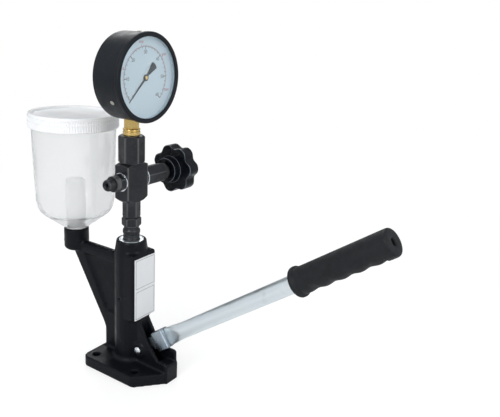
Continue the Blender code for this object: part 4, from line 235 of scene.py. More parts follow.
def grain(made, scale, low=0.0, high=1.0, detail=3.0, stretch=(1, 1, 1), span=(0.35, 0.65)):
    """Noise on the object's own coordinates in metres, stretched, and mapped from span to low..high."""
    tree = made.node_tree
    where = tree.nodes.new("ShaderNodeTexCoord").outputs["Object"]
    placed = joined(tree, "ShaderNodeMapping", Vector=where, Scale=stretch)
    noise = joined(tree, "ShaderNodeTexNoise", Vector=placed.outputs[0], Scale=scale, Detail=detail)
    return between(tree, noise.outputs["Fac"], *span, low, high, "LINEAR")


def tint(made, amount, other):
    """Mixes the base colour, plain or already mixed, towards another colour by amount."""
    tree = made.node_tree
    base = tree.nodes["Principled BSDF"].inputs["Base Color"]
    mix = tree.nodes.new("ShaderNodeMix")
    mix.data_type = "RGBA"
    if base.is_linked:
        tree.links.new(base.links[0].from_socket, mix.inputs["A"])
    else:
        mix.inputs[6].default_value = base.default_value
    mix.inputs[7].default_value = (*other, 1)
    tree.links.new(amount, mix.inputs["Factor"])
    tree.links.new(mix.outputs[2], base)


def mottle(made, scale, most, other, **pattern):
    """Mixes in soft patches of another colour. Most is its share where they are strongest."""
    tint(made, grain(made, scale, 0.0, most, **pattern), other)


def roughen(made, scale, low, high, **pattern):
    """Lets the roughness wander between low and high."""
    rough = made.node_tree.nodes["Principled BSDF"].inputs["Roughness"]
    made.node_tree.links.new(grain(made, scale, low, high, **pattern), rough)


def emboss(made, scale, depth, strength, **pattern):
    """Adds a bump of that depth in metres; a second one lies on top of the first."""
    tree = made.node_tree
    normal = tree.nodes["Principled BSDF"].inputs["Normal"]
    height = grain(made, scale, **pattern)
    bump = joined(tree, "ShaderNodeBump", Height=height, Distance=depth, Strength=strength)
    if normal.is_linked:
        tree.links.new(normal.links[0].from_socket, bump.inputs["Normal"])
    tree.links.new(bump.outputs[0], normal)


def worn_edges(made, colour, start, end):
    """Mixes in a colour on outward edges, where the mesh's pointiness runs from start to end: rubbed-off wear
    on the blacked steel, and a painted highlight along the knob's rims.
    """
    tree = made.node_tree
    pointed = tree.nodes.new("ShaderNodeNewGeometry").outputs["Pointiness"]
    tint(made, between(tree, pointed, start, end, curve="LINEAR"), colour)


def settle(piece, finish, *nodes, slot=None, body=None):
    """Gives a finished piece its material, the body it rides on and the nodes it stands for. The slot is not
    used.
    """
    if piece.name not in scene.collection.objects:
        scene.collection.objects.link(piece)
    piece.data.materials.clear()
    piece.data.materials.append(finish)
    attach(piece, body or home[nodes[0]])
    if nodes:
        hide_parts(*nodes)
    return piece


def merged_copy(name, node):
    """A copy of a CAD node's mesh with its loose triangles joined up, as a new object."""
    work = bmesh.new()
    work.from_mesh(frame["nodes"][node].data)
    bmesh.ops.remove_doubles(work, verts=work.verts, dist=SAME_POINT)
    bmesh.ops.dissolve_limit(work, angle_limit=SAME_PLANE, verts=work.verts, edges=work.edges)
    mesh = bpy.data.meshes.new(name)
    work.to_mesh(mesh)
    work.free()
    piece = bpy.data.objects.new(name, mesh)
    scene.collection.objects.link(piece)
    return piece


def baked(piece):
    """Puts the result of a piece's modifiers into its mesh."""
    mesh = bpy.data.meshes.new_from_object(piece.evaluated_get(bpy.context.evaluated_depsgraph_get()))
    piece.modifiers.clear()
    piece.data = mesh
    return piece


enamel = new_finish("black_stove_enamel", (0.0035, 0.0045, 0.0068), 0.34, Specular_IOR_Level=0.13)
mottle(enamel, 22, 0.6, (0.006, 0.0066, 0.0088))
roughen(enamel, 60, 0.26, 0.44)
emboss(enamel, 420, 0.10 * MM, 0.35, detail=2.0)
emboss(enamel, 70, 0.5 * MM, 0.25, detail=2.0)

stand = merged_copy("stand_casting", "main_casting")
shell = stand.modifiers.new("cast skin", "REMESH")
shell.mode = "VOXEL"
shell.voxel_size = CAST_GRAIN
ease = stand.modifiers.new("soft edges", "SMOOTH")
ease.factor = 0.5
ease.iterations = CAST_SOFTENING
baked(stand)
stand.data.shade_smooth()
settle(stand, enamel, "main_casting", slot="black_enamel")


# The label: a thin white-lacquered plate glued to the front block. Two square panels are
# printed on it, one above the other, each inside a thin grey frame.
FRAME_LINE = 0.45 * MM
PRINT_PROUD = 0.06 * MM
PANEL_INSET = 1.7 * MM
PANEL_SPLIT_SHARES = (0.481, 0.532)


def grid_mesh(name, points, ring=True, ends=True):
    """A mesh through a grid of points, rows by columns by 3. Each square of the grid is a face. With
    ring the last column joins the first, and with ends the first and last rows are filled."""
    points = np.asarray(points, dtype=float)
    rows, columns = points.shape[:2]
    index = np.arange(rows * columns).reshape(rows, columns)
    if ring:
        index = np.concatenate([index, index[:, :1]], axis=1)
    squares = np.stack([index[:-1, :-1], index[:-1, 1:], index[1:, 1:], index[1:, :-1]], axis=-1)
    faces = squares.reshape(-1, 4).tolist()
    if ends:
        faces += [index[0, :columns][::-1].tolist(), index[-1, :columns].tolist()]
    mesh = bpy.data.meshes.new(name)
    mesh.from_pydata(points.reshape(-1, 3).tolist(), [], faces)
    return mesh


def finished(name, *meshes, crease=32):
    """One piece from one or more meshes: doubles merged, faces outwards, smooth but for its creases."""
    work = bmesh.new()
    for mesh in meshes:
        work.from_mesh(mesh)
    bmesh.ops.remove_doubles(work, verts=work.verts, dist=SAME_POINT / 2)
    bmesh.ops.recalc_face_normals(work, faces=work.faces)
    mesh = bpy.data.meshes.new(name)
    work.to_mesh(mesh)
    work.free()
    mesh.shade_smooth()
    mesh.set_sharp_from_angle(angle=np.radians(crease))
    piece = bpy.data.objects.new(name, mesh)
    scene.collection.objects.link(piece)
    return piece


def block_grid(low, high):
    """The grid of a box from corner low to corner high: two square rings, one above the other."""
    (x0, y0, z0), (x1, y1, z1) = low, high
    ring = np.array([(x0, y0), (x1, y0), (x1, y1), (x0, y1)])
    return np.stack([np.column_stack([ring, np.full(4, z)]) for z in (z0, z1)])


def dress(finish, *nodes):
    """Gives CAD nodes whose shape is right a finer material."""
    for node in nodes:
        for place in frame["nodes"][node].material_slots:
            place.material = finish


plate_white = new_finish("white_lacquered_plate", (0.80, 0.81, 0.82), 0.38, Coat_Weight=0.3,
                         Coat_Roughness=0.2)
mottle(plate_white, 45, 0.5, (0.74, 0.75, 0.77))
roughen(plate_white, 150, 0.30, 0.46)
emboss(plate_white, 900, 0.02 * MM, 0.4)
dress(plate_white, "label_plate")

label_low, label_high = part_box("label_plate")
panel_left = label_low.y + PANEL_INSET
panel_right = label_high.y - PANEL_INSET
label_tall = label_high.z - label_low.z
panel_heights = [(label_low.z + PANEL_INSET, label_high.z - PANEL_SPLIT_SHARES[1] * label_tall),
                 (label_high.z - PANEL_SPLIT_SHARES[0] * label_tall, label_high.z - PANEL_INSET)]
print_face = label_high.x - PRINT_PROUD / 2
lines = []
for foot, head in panel_heights:
    for start, stop, under, over in ((panel_left, panel_right, foot, foot + FRAME_LINE),
                                     (panel_left, panel_right, head - FRAME_LINE, head),
                                     (panel_left, panel_left + FRAME_LINE, foot, head),
                                     (panel_right - FRAME_LINE, panel_right, foot, head)):
        bar = block_grid((print_face, start, under), (print_face + PRINT_PROUD, stop, over))
        lines.append(grid_mesh("line", bar))
ink = new_finish("printed_grey_line", (0.09, 0.09, 0.10), 0.5)
mottle(ink, 700, 0.5, (0.16, 0.16, 0.17))
settle(finished("label_frames", *lines), ink, body="stand")


# The pump element inside the housing: plunger, barrel, tappet, check valve and two springs.
# Ground and lapped steel, bright and filmed with oil. The springs are drawn wire, each given a
# mesh of its own. Only the tappet's foot shows, behind the lever's nose.
ground = new_finish("ground_and_lapped_steel", (0.50, 0.50, 0.52), 0.2, 1.0)
mottle(ground, 40, 0.4, (0.36, 0.35, 0.34))
roughen(ground, 300, 0.14, 0.3, stretch=(1, 1, 12))
emboss(ground, 500, 0.01 * MM, 0.5, stretch=(1, 1, 14))
dress(ground, "tappet", "plunger", "pump_barrel", "valve_seat", "delivery_valve")
wire = new_finish("oiled_spring_wire", (0.16, 0.16, 0.17), 0.32, 1.0)
mottle(wire, 200, 0.7, (0.09, 0.085, 0.08))
roughen(wire, 500, 0.25, 0.45)
emboss(wire, 1500, 0.01 * MM, 0.4)
dress(wire, "plunger_spring", "delivery_spring")
PLUNGER_TRAVEL = 8.12 * MM
VALVE_TRAVEL = 1.5 * MM
for spring, joint, travel in (("plunger_spring", "plunger_travel", PLUNGER_TRAVEL),
                              ("delivery_spring", "delivery_valve_lift", VALVE_TRAVEL)):
    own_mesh(frame["nodes"][spring])


# The gland ring and the delivery stem: a bright zinc-plated ring closes the housing's top, and
# the stem screws down through it. Both are turned. The stem is blacked, with a bead above
# its thread and a waist under the union nut.
THREAD_PITCH = 1.5 * MM
THREAD_DEPTH = 0.45 * MM
ROUND_SIDES = 96
EASED_SHARE = 0.45
GRID_TURN_SHARE = 0.3


def eased(corners, radius, steps=3):
    """An outline with rounded corners: each becomes a Bezier arc between the two points that lie
    one radius from it along its sides, or 45% of a side where that is nearer."""
    corners = np.asarray(corners, dtype=float)
    here = corners[1:-1]

    def toward(other):
        side = other - here
        length = np.maximum(np.linalg.norm(side, axis=1, keepdims=True), 1e-9)
        return here + side / length * np.minimum(radius, EASED_SHARE * length)

    t = np.linspace(0, 1, steps + 1)[None, :, None]
    arcs = ((1 - t) ** 2 * toward(corners[:-2])[:, None] + 2 * t * (1 - t) * here[:, None]
            + t ** 2 * toward(corners[2:])[:, None])
    return np.concatenate([corners[:1], arcs.reshape(-1, 2), corners[-1:]])


def circle(sides, start_share=0):
    """The unit circle's points, anticlockwise from a share of a step past the first axis."""
    angle = 2 * np.pi * (np.arange(sides) + start_share) / sides
    return np.stack([np.cos(angle), np.sin(angle)], axis=-1)


def turned(profile, axis="Z", at=(0, 0, 0), outline=None):
    """The grid of a piece turned round an axis through at: each (radius, height) of the profile is
    carried round a circle, whose points lie off the axes so that the wear on edges comes out even.
    With an outline, the points of a bar's section, no point lies outside that section, so a wide
    profile shows the bar and a narrow one turns it down."""
    profile = np.asarray(profile, dtype=float)
    if outline is None:
        outline = circle(ROUND_SIDES, GRID_TURN_SHARE) * 10
    span = np.linalg.norm(outline, axis=1)
    reach = np.minimum(profile[:, :1], span[None, :])
    flat = outline[None] / span[None, :, None] * reach[..., None]
    height = np.broadcast_to(profile[:, 1:, None], (*reach.shape, 1))
    return np.roll(np.concatenate([flat, height], axis=-1), "ZXY".index(axis), axis=-1) + np.asarray(at)


def threaded(grid, middle, axis, low, high, pitch=THREAD_PITCH, depth=THREAD_DEPTH):
    """Cuts a thread into a turned grid between two heights: the radius drops by depth times a wave
    of height over pitch less turns round the axis, fading in over the first pitch."""
    place = "XYZ".index(axis)
    across = [k for k in range(3) if k != place]
    height = grid[..., place]
    flat = grid[..., across] - np.asarray(middle)[across]
    turn = np.arctan2(flat[..., 1], flat[..., 0]) / (2 * np.pi)
    wave = 0.5 - 0.5 * np.cos(2 * np.pi * (height / pitch - turn))
    fade = np.clip((height - low) / pitch, 0, 1) * np.clip((high - height) / pitch, 0, 1)
    span = np.linalg.norm(flat, axis=-1)
    grid = grid.copy()
    kept = 1 - depth * wave * fade / np.maximum(span, 1e-6)
    grid[..., across] = flat * kept[..., None] + np.asarray(middle)[across]
    return grid


def upright(radius, heights):
    """Profile points up a cylinder."""
    return np.column_stack([np.full(heights.shape, radius), heights])


def run(radius, low, high, step):
    """Profile points up a cylinder, close enough together to carry a thread."""
    return upright(radius, np.arange(low, high, step))


def ring_section(bore, radius, low, high, easing):
    """A plain ring's closed profile, from its bore out and back, with eased corners."""
    return eased([(bore, low), (radius, low), (radius, high), (bore, high), (bore, low)], easing)


def built(name, finish, node, slot, *grids, crease=32):
    """A piece in a CAD node's place, from grids whose first and last rows need no filling."""
    meshes = [grid_mesh("part", grid, ends=False) for grid in grids]
    return settle(finished(name, *meshes, crease=crease), finish, node, slot=slot)


zinc = new_finish("bright_zinc_plate", (0.78, 0.82, 0.85), 0.24, 1.0)
mottle(zinc, 35, 0.7, (0.64, 0.69, 0.73))
mottle(zinc, 160, 0.35, (0.38, 0.40, 0.42), span=(0.55, 0.75))
roughen(zinc, 90, 0.17, 0.36)
emboss(zinc, 380, 0.03 * MM, 0.35)

blacked = new_finish("blacked_and_oiled_steel", (0.022, 0.0235, 0.028), 0.38, 0.75)
mottle(blacked, 55, 0.6, (0.038, 0.038, 0.041))
mottle(blacked, 700, 0.5, (0.08, 0.073, 0.068), detail=1.0, span=(0.58, 0.75))
roughen(blacked, 130, 0.28, 0.5)
emboss(blacked, 900, 0.03 * MM, 0.5, detail=2.0)
worn_edges(blacked, (0.12, 0.12, 0.122), 0.515, 0.56)

ring_low, ring_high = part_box("gland_ring")
RING_BORE = 10.2 * MM
RING_EASING = 0.7 * MM
ring_profile = ring_section(RING_BORE, ring_high.x, ring_low.z, ring_high.z, RING_EASING)
built("gland_ring_turned", zinc, "gland_ring", "zinc_plate", turned(ring_profile))

stem_low, stem_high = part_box("delivery_stem")
THREAD_RADIUS = 9.9 * MM
THREAD_TOP = 176 * MM
THREAD_MARGIN = 1 * MM
THREAD_END_FALL = 0.8 * MM
THREAD_END_DEPTH = 0.7 * MM
BEAD_RADIUS = 10.5 * MM
BEAD_RISE = 1.2 * MM
BEAD_SHOULDER = 1 * MM
BEAD_TOP = 182.5 * MM
WAIST_RADIUS = 9.0 * MM
WAIST_SLOPE = 0.4 * MM
WAIST_TOP = 186.3 * MM
SPIGOT_RADIUS = 8 * MM
STEM_EASING = 1.2 * MM
STEM_BORE = 2 * MM
CHAMBER_RADIUS = 5 * MM
CHAMBER_TOP = 170 * MM
thread_foot = stem_low.z + THREAD_MARGIN
thread_head = THREAD_TOP - THREAD_MARGIN
upper_stem = eased([
    (THREAD_RADIUS, THREAD_TOP - THREAD_END_FALL), (THREAD_RADIUS - THREAD_END_DEPTH, THREAD_TOP),
    (BEAD_RADIUS, THREAD_TOP + BEAD_RISE), (BEAD_RADIUS, BEAD_TOP - BEAD_SHOULDER),
    (WAIST_RADIUS, BEAD_TOP + WAIST_SLOPE), (WAIST_RADIUS, WAIST_TOP), (SPIGOT_RADIUS, WAIST_TOP),
    (SPIGOT_RADIUS, stem_high.z), (STEM_BORE, stem_high.z)], STEM_EASING)
chamber = [(STEM_BORE, stem_high.z), (STEM_BORE, CHAMBER_TOP), (CHAMBER_RADIUS, CHAMBER_TOP),
           (CHAMBER_RADIUS, stem_low.z), (THREAD_RADIUS - THREAD_MARGIN, stem_low.z)]
stem_thread = run(THREAD_RADIUS, thread_foot, thread_head, THREAD_PITCH / 8)
stem_profile = np.concatenate([chamber, stem_thread, upper_stem])
stem_grid = threaded(turned(stem_profile), (0, 0, 0), "Z", thread_foot, thread_head)
built("delivery_stem_turned", blacked, "delivery_stem", "blacked_steel", stem_grid)


# The shut-off valve's body and the union nut under it: bar stock milled square and hexagonal,
# turned at its top and foot, drilled across for the outlet and the needle. The corners shine
# a little where the blacking has rubbed off.
HEX_TURN = np.radians(-16)
UNION_FLATS = 20.5 * MM
BLOCK_HEX_FLATS = 18.8 * MM
BLOCK_EDGE = 0.7 * MM
CHAMFER = 1.4 * MM
BLOCK_FOOT = 217 * MM
BLOCK_KNEE_RISE = 1.6 * MM
BLOCK_CONE_RISE = 5.2 * MM
BLOCK_TURNED_RADIUS = 15.2 * MM
BLOCK_TOP_FALL = 1.8 * MM
BLOCK_TOP_CURVE = 0.8
BLOCK_HALF_X = 10.7 * MM
BLOCK_HALF_Y = 16.9 * MM
BLOCK_OVERLAP = 1 * MM
CHAMFER_SPREAD = 1.35
CHAMFER_CURVE = 1.3
FLATS_CREASE = 25


def bar_section(corners, edge=0.5 * MM, side_points=12):
    """The closed outline of a milled bar: points spaced evenly along each side, and each corner
    blunted by a Bezier arc that starts and ends one edge width from it."""
    here = np.asarray(corners, dtype=float)
    after = np.roll(here, -1, axis=0)
    side = after - here
    step = side / np.linalg.norm(side, axis=1, keepdims=True) * edge
    t = np.linspace(0, 1, side_points)[None, :, None]
    flats = (here + step)[:, None] * (1 - t) + (after - step)[:, None] * t
    bend = np.array([0.33, 0.67])[None, :, None]
    beyond = after + np.roll(step, -1, axis=0)
    arcs = ((1 - bend) ** 2 * (after - step)[:, None] + 2 * bend * (1 - bend) * after[:, None]
            + bend ** 2 * beyond[:, None])
    return np.concatenate([flats, arcs], axis=1).reshape(-1, 2)


def hexagon(flats, turn=0.0, edge=0.5 * MM):
    """A hexagonal bar's section, that wide across its flats, its first corner turned by an angle."""
    angle = turn + np.pi / 3 * np.arange(6)
    return bar_section(flats / np.sqrt(3) * np.column_stack([np.cos(angle), np.sin(angle)]), edge)


def rectangle(half_x, half_y, edge, side_points=12):
    """A square or oblong bar's section."""
    corners = [(half_x, -half_y), (half_x, half_y), (-half_x, half_y), (-half_x, -half_y)]
    return bar_section(corners, edge, side_points)


def hex_profile(flats, low, high, chamfer=CHAMFER, bore=0.0, steps=6):
    """A hexagonal bar's turned ends: at each end the radius falls from the corners to the flats. A
    bore closes the profile, and a solid bar's ends on its axis."""
    corner = flats / np.sqrt(3)
    face = corner - chamfer * CHAMFER_SPREAD
    climb = np.linspace(0, 1, steps)
    foot = np.column_stack([face + (corner - face) * climb, low + chamfer * climb ** CHAMFER_CURVE])
    head = np.column_stack([face + (corner - face) * climb, high - chamfer * climb ** CHAMFER_CURVE])[::-1]
    inside = [(bore, high), (bore, low)] if bore else [(bore, high)]
    return np.concatenate([[(bore, low)], foot, head, inside])


nut_low, nut_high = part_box("union_nut")
nut_profile = hex_profile(UNION_FLATS, nut_low.z, nut_high.z, bore=SPIGOT_RADIUS)
built("union_nut_milled", blacked, "union_nut", "blacked_steel",
      turned(nut_profile, outline=hexagon(UNION_FLATS, HEX_TURN)), crease=FLATS_CREASE)

block_low, block_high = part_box("valve_block")
block_corner = np.hypot(BLOCK_HALF_X, BLOCK_HALF_Y)
hex_half = BLOCK_HEX_FLATS / 2
slope = np.linspace(0, 1, 14)
cone_radii = hex_half + (block_corner - hex_half) * slope
cone_rise = np.interp(cone_radii, (hex_half, BLOCK_TURNED_RADIUS, block_corner),
                      (0, BLOCK_KNEE_RISE, BLOCK_CONE_RISE))
cone = np.column_stack([cone_radii, BLOCK_FOOT + cone_rise])
top_chamfer = np.column_stack([block_corner + (BLOCK_TURNED_RADIUS - block_corner) * slope ** BLOCK_TOP_CURVE,
                               block_high.z - BLOCK_TOP_FALL * (1 - slope)])
block_profile = np.concatenate([[(0, BLOCK_FOOT)], cone, top_chamfer, [(0, block_high.z)]])
hex_top = BLOCK_FOOT + BLOCK_OVERLAP
lower_profile = np.concatenate([hex_profile(BLOCK_HEX_FLATS, block_low.z, hex_top)[:-6],
                                [(BLOCK_HEX_FLATS, hex_top), (0, hex_top)]])
built("valve_block_milled", blacked, "valve_block", "blacked_steel",
      turned(block_profile, outline=rectangle(BLOCK_HALF_X, BLOCK_HALF_Y, BLOCK_EDGE, 28)),
      turned(lower_profile, outline=hexagon(BLOCK_HEX_FLATS, HEX_TURN)), crease=FLATS_CREASE)


# The outlet: a zinc-plated sealing washer, a hexagonal adapter and the nipple that an injector's
# pipe screws on. All turned from steel bar, and the nipple's thread is rolled.
outlet_low, outlet_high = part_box("outlet_seal")
CROSS = np.array([0, 0, (outlet_low.z + outlet_high.z) / 2])
WASHER_BORE = 6.4 * MM
WASHER_EASING = 0.35 * MM


def washer(name, node):
    """A zinc-plated flat ring round the cross axis, its edges eased."""
    low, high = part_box(node)
    profile = ring_section(WASHER_BORE, (high.z - low.z) / 2, low.y, high.y, WASHER_EASING)
    return built(name, zinc, node, "zinc_plate", turned(profile, "Y", CROSS))


washer("outlet_washer", "outlet_seal")
OUTLET_HEX_END = -26 * MM
OUTLET_STEP_END = -31.9 * MM
OUTLET_STEP_RADIUS = 9.4 * MM
OUTLET_STEP_OVERLAP = 0.5 * MM
OUTLET_STEP_EASING = 0.7 * MM
OUTLET_FLATS = 19 * MM
OUTLET_CHAMFER = 1.2 * MM
step_start = OUTLET_HEX_END + OUTLET_STEP_OVERLAP
hex_part = hex_profile(OUTLET_FLATS, OUTLET_HEX_END, outlet_low.y, OUTLET_CHAMFER)
step_part = eased([(OUTLET_STEP_RADIUS, step_start), (OUTLET_STEP_RADIUS, OUTLET_STEP_END),
                   (0, OUTLET_STEP_END)], OUTLET_STEP_EASING)
built("outlet_adapter_milled", blacked, "outlet_adapter", "blacked_steel",
      turned(hex_part, "Y", CROSS, hexagon(OUTLET_FLATS)),
      turned(np.concatenate([[(0, step_start)], step_part]), "Y", CROSS), crease=FLATS_CREASE)

nipple_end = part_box("outlet_nipple")[0].y
NIPPLE_RADIUS = 6.8 * MM
NIPPLE_CHAMFER_FALL = 1.0 * MM
NIPPLE_CONE_DEPTH = 1.8 * MM
NIPPLE_CONE_SPREAD = 1.6 * MM
NIPPLE_NECK_DEPTH = 0.6 * MM
NIPPLE_THREAD_DEPTH = 0.3 * MM
NIPPLE_EASING = 0.4 * MM
OUTLET_BORE = 2.2 * MM
BORE_DEPTH = 7 * MM
thread_start = nipple_end + NIPPLE_CONE_DEPTH
mouth = eased([(NIPPLE_RADIUS, thread_start), (NIPPLE_RADIUS - NIPPLE_CHAMFER_FALL, nipple_end),
               (OUTLET_BORE + NIPPLE_CONE_SPREAD, nipple_end), (OUTLET_BORE, thread_start),
               (OUTLET_BORE, nipple_end + BORE_DEPTH), (0, nipple_end + BORE_DEPTH)], NIPPLE_EASING)
shank = run(NIPPLE_RADIUS, thread_start, OUTLET_STEP_END, THREAD_PITCH / 8)[::-1]
neck = [(0, OUTLET_STEP_END), (NIPPLE_RADIUS - NIPPLE_NECK_DEPTH, OUTLET_STEP_END)]
nipple_grid = threaded(turned(np.concatenate([neck, shank, mouth]), "Y", CROSS), CROSS, "Y", thread_start,
                       OUTLET_STEP_END, depth=NIPPLE_THREAD_DEPTH)
built("outlet_nipple_turned", blacked, "outlet_nipple", "blacked_steel", nipple_grid)


# The needle's gland: a second washer, a long hexagonal gland, its round nut and the spindle.
# The nut is turned plain, and the bright spindle slides through its packing.
washer("gland_washer", "gland_seal")
GLAND_FLATS = 21.8 * MM
GLAND_TURN = np.radians(15)
GLAND_CHAMFER = 1.0 * MM
GLAND_OVERLAP = 1 * MM
NUT_BORE = 4.3 * MM
NUT_EASING = 1.0 * MM
gland_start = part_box("gland_seal")[1].y
nut_low, nut_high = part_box("gland_nut")
gland_profile = hex_profile(GLAND_FLATS, gland_start, nut_low.y + GLAND_OVERLAP, GLAND_CHAMFER)
built("needle_gland_milled", blacked, "needle_gland", "blacked_steel",
      turned(gland_profile, "Y", CROSS, hexagon(GLAND_FLATS, GLAND_TURN)), crease=FLATS_CREASE)
nut_profile = ring_section(NUT_BORE, nut_high.x, nut_low.y, nut_high.y, NUT_EASING)
built("gland_nut_turned", blacked, "gland_nut", "blacked_steel", turned(nut_profile, "Y", CROSS))
packing = new_finish("graphited_packing", (0.02, 0.02, 0.021), 0.75)
mottle(packing, 500, 0.7, (0.05, 0.05, 0.052))
emboss(packing, 1200, 0.06 * MM, 0.6)
dress(packing, "gland_packing", "tank_seal")
dress(ground, "needle_spindle")


# The star knob: black thermoset moulded round a threaded insert, with a stepped hub, seven
# broad lobes, and a small cap pressed into its face.
LOBES = 7
LOBE_TURN = np.radians(5.3)
LOBE_WAIST_SHARE = 0.845
KNOB_SIDES = 252
HUB_RADIUS = 15.4 * MM
HUB_CHAMFER = 1.5 * MM
HUB_BAND = 2 * MM
HUB_HEIGHT = 8.6 * MM
HUB_EASING = 0.6 * MM
RISER_RADIUS = 17.4 * MM
RISER_HEIGHT = 12.1 * MM
LOBE_START = RISER_RADIUS + 2 * MM
KNOB_TIP = 30.4 * MM
TIP_BAND = 2 * MM
TIP_LEVEL = 14.5 * MM
FACE_FALL = 1.6 * MM
FACE_INSET = 2.2 * MM
DISC_EASING = 0.9 * MM
KNOB_BORE = 4.2 * MM
RECESS_RADIUS = 12 * MM
RECESS_SLOPE = 1 * MM
RECESS_DEPTH = 2.7 * MM
knob_low, knob_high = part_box("star_knob")
hub_head = knob_low.y + HUB_HEIGHT
disc_foot = knob_low.y + RISER_HEIGHT
recess = knob_high.y - RECESS_DEPTH
hub_profile = eased([
    (KNOB_BORE, knob_low.y), (KNOB_BORE + HUB_CHAMFER, knob_low.y), (HUB_RADIUS - HUB_CHAMFER, knob_low.y),
    (HUB_RADIUS, knob_low.y), (HUB_RADIUS, knob_low.y + HUB_BAND), (HUB_RADIUS, hub_head),
    (RISER_RADIUS, hub_head), (RISER_RADIUS, disc_foot), (LOBE_START, disc_foot)], HUB_EASING, 2)
disc_profile = eased([
    (LOBE_START, disc_foot), (KNOB_TIP - TIP_BAND, disc_foot), (KNOB_TIP, disc_foot),
    (KNOB_TIP, knob_low.y + TIP_LEVEL), (KNOB_TIP, knob_high.y - FACE_FALL),
    (KNOB_TIP - FACE_INSET, knob_high.y), (RECESS_RADIUS + RECESS_SLOPE, knob_high.y),
    (RECESS_RADIUS, recess), (KNOB_BORE, recess), (KNOB_BORE, knob_low.y)], DISC_EASING, 2)


def lobed(profile):
    """A turned profile pulled in between lobes: beyond the hub, a point's radius shrinks by the
    waist's depth times the cube of a sine's size, which keeps the lobes broad."""
    angle = 2 * np.pi * (np.arange(KNOB_SIDES) + GRID_TURN_SHARE) / KNOB_SIDES
    waist = (1 - LOBE_WAIST_SHARE) * np.abs(np.sin(LOBES * (angle - LOBE_TURN) / 2)) ** 3
    share = np.clip((profile[:, :1] - LOBE_START) / (KNOB_TIP - LOBE_START), 0, 1)
    reach = profile[:, :1] * (1 - waist[None] * share)
    height = np.broadcast_to(profile[:, 1:], reach.shape)
    return np.stack([reach * np.cos(angle), height, reach * np.sin(angle)], axis=-1) + CROSS


bakelite = new_finish("black_moulded_thermoset", (0.0025, 0.0035, 0.0055), 0.24, Specular_IOR_Level=0.16)
mottle(bakelite, 60, 0.4, (0.004, 0.0052, 0.0075))
roughen(bakelite, 60, 0.22, 0.3)
emboss(bakelite, 60, 0.02 * MM, 0.1)
# Painted highlight: a pale bluish line along the knob's convex hub and lobe edges, where the lamps would
# glint on its rounded rims.
worn_edges(bakelite, (0.13, 0.145, 0.17), 0.53, 0.545)
built("star_knob_moulded", bakelite, "star_knob", "knob_plastic",
      lobed(np.concatenate([hub_profile, disc_profile[1:]])), crease=50)
CAP_CROWN = 0.2 * MM
CAP_EASING = 0.5 * MM
cap_low, cap_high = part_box("knob_cap")
cap_profile = eased([(0, cap_low.y), (cap_high.x, cap_low.y), (cap_high.x, cap_high.y - CAP_CROWN),
                     (cap_high.x / 2, cap_high.y), (0, cap_high.y)], CAP_EASING)
built("knob_cap_pressed", bakelite, "knob_cap", "knob_plastic", turned(cap_profile, "Y", CROSS))


# The gauge's mounting: a long hexagonal adapter of blacked bar, and the brass socket that the
# gauge is built on. The socket is square where a spanner holds it, and grooved below.
ADAPTER_FLATS = 27 * MM
ADAPTER_CHAMFER = 2 * MM
ADAPTER_GAP = 0.3 * MM
ADAPTER_BORE = 8.8 * MM
ADAPTER_BORE_DEPTH = 6 * MM
COUNTERSINK = 0.6 * MM
adapter_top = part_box("gauge_adapter")[1].z
bore_floor = adapter_top - ADAPTER_BORE_DEPTH
adapter_hex = hex_profile(ADAPTER_FLATS, block_high.z + ADAPTER_GAP, adapter_top, ADAPTER_CHAMFER)[:-1]
adapter_bore = [(ADAPTER_BORE + COUNTERSINK, adapter_top), (ADAPTER_BORE, adapter_top - COUNTERSINK),
                (ADAPTER_BORE, bore_floor), (0, bore_floor)]
built("gauge_adapter_milled", blacked, "gauge_adapter", "blacked_steel",
      turned(np.concatenate([adapter_hex, adapter_bore]), outline=hexagon(ADAPTER_FLATS, HEX_TURN)),
      crease=FLATS_CREASE)

brass = new_finish("bright_turned_brass", (0.80, 0.58, 0.22), 0.24, 1.0)
mottle(brass, 60, 0.6, (0.66, 0.44, 0.14))
mottle(brass, 300, 0.35, (0.42, 0.27, 0.09), span=(0.55, 0.75))
roughen(brass, 200, 0.16, 0.34, stretch=(1, 1, 8))
emboss(brass, 700, 0.02 * MM, 0.4, stretch=(1, 1, 12))

SOCKET_SQUARE = 12.5 * MM
SOCKET_RADIUS = 10.1 * MM
SOCKET_EDGE = 0.6 * MM
SOCKET_LIFT = 0.3 * MM
SOCKET_CHAMFER = 0.7 * MM
SOCKET_OVERLAP = 1 * MM
SOCKET_EASING = 0.5 * MM
GROOVE_RADIUS = 9.2 * MM
GROOVE_HEIGHT = 301.6 * MM
GROOVE_HALF = 0.8 * MM
GROOVE_FLOOR_HALF = 0.6 * MM
SQUARE_FOOT = 304 * MM
THREAD_END_RADIUS = 6.2 * MM
socket_low, socket_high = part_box("gauge_socket")
square_low = SQUARE_FOOT - SOCKET_OVERLAP
square_high = socket_high.z - SOCKET_OVERLAP
square_profile = [(0, square_low), (SOCKET_SQUARE, square_low), (SOCKET_SQUARE, square_high),
                  (0, square_high)]
round_profile = eased([
    (0, socket_low.z), (THREAD_END_RADIUS, socket_low.z), (THREAD_END_RADIUS, adapter_top),
    (SOCKET_RADIUS, adapter_top + SOCKET_LIFT), (SOCKET_RADIUS, GROOVE_HEIGHT - GROOVE_HALF),
    (GROOVE_RADIUS, GROOVE_HEIGHT - GROOVE_FLOOR_HALF), (GROOVE_RADIUS, GROOVE_HEIGHT + GROOVE_FLOOR_HALF),
    (SOCKET_RADIUS, GROOVE_HEIGHT + GROOVE_HALF), (SOCKET_RADIUS, SQUARE_FOOT - SOCKET_CHAMFER),
    (SOCKET_RADIUS - SOCKET_CHAMFER, SQUARE_FOOT), (0, SQUARE_FOOT)], SOCKET_EASING)
built("gauge_socket_brass", brass, "gauge_socket", "brass",
      turned(square_profile, outline=rectangle(SOCKET_SQUARE / 2, SOCKET_SQUARE / 2, SOCKET_EDGE)),
      turned(round_profile), crease=FLATS_CREASE)


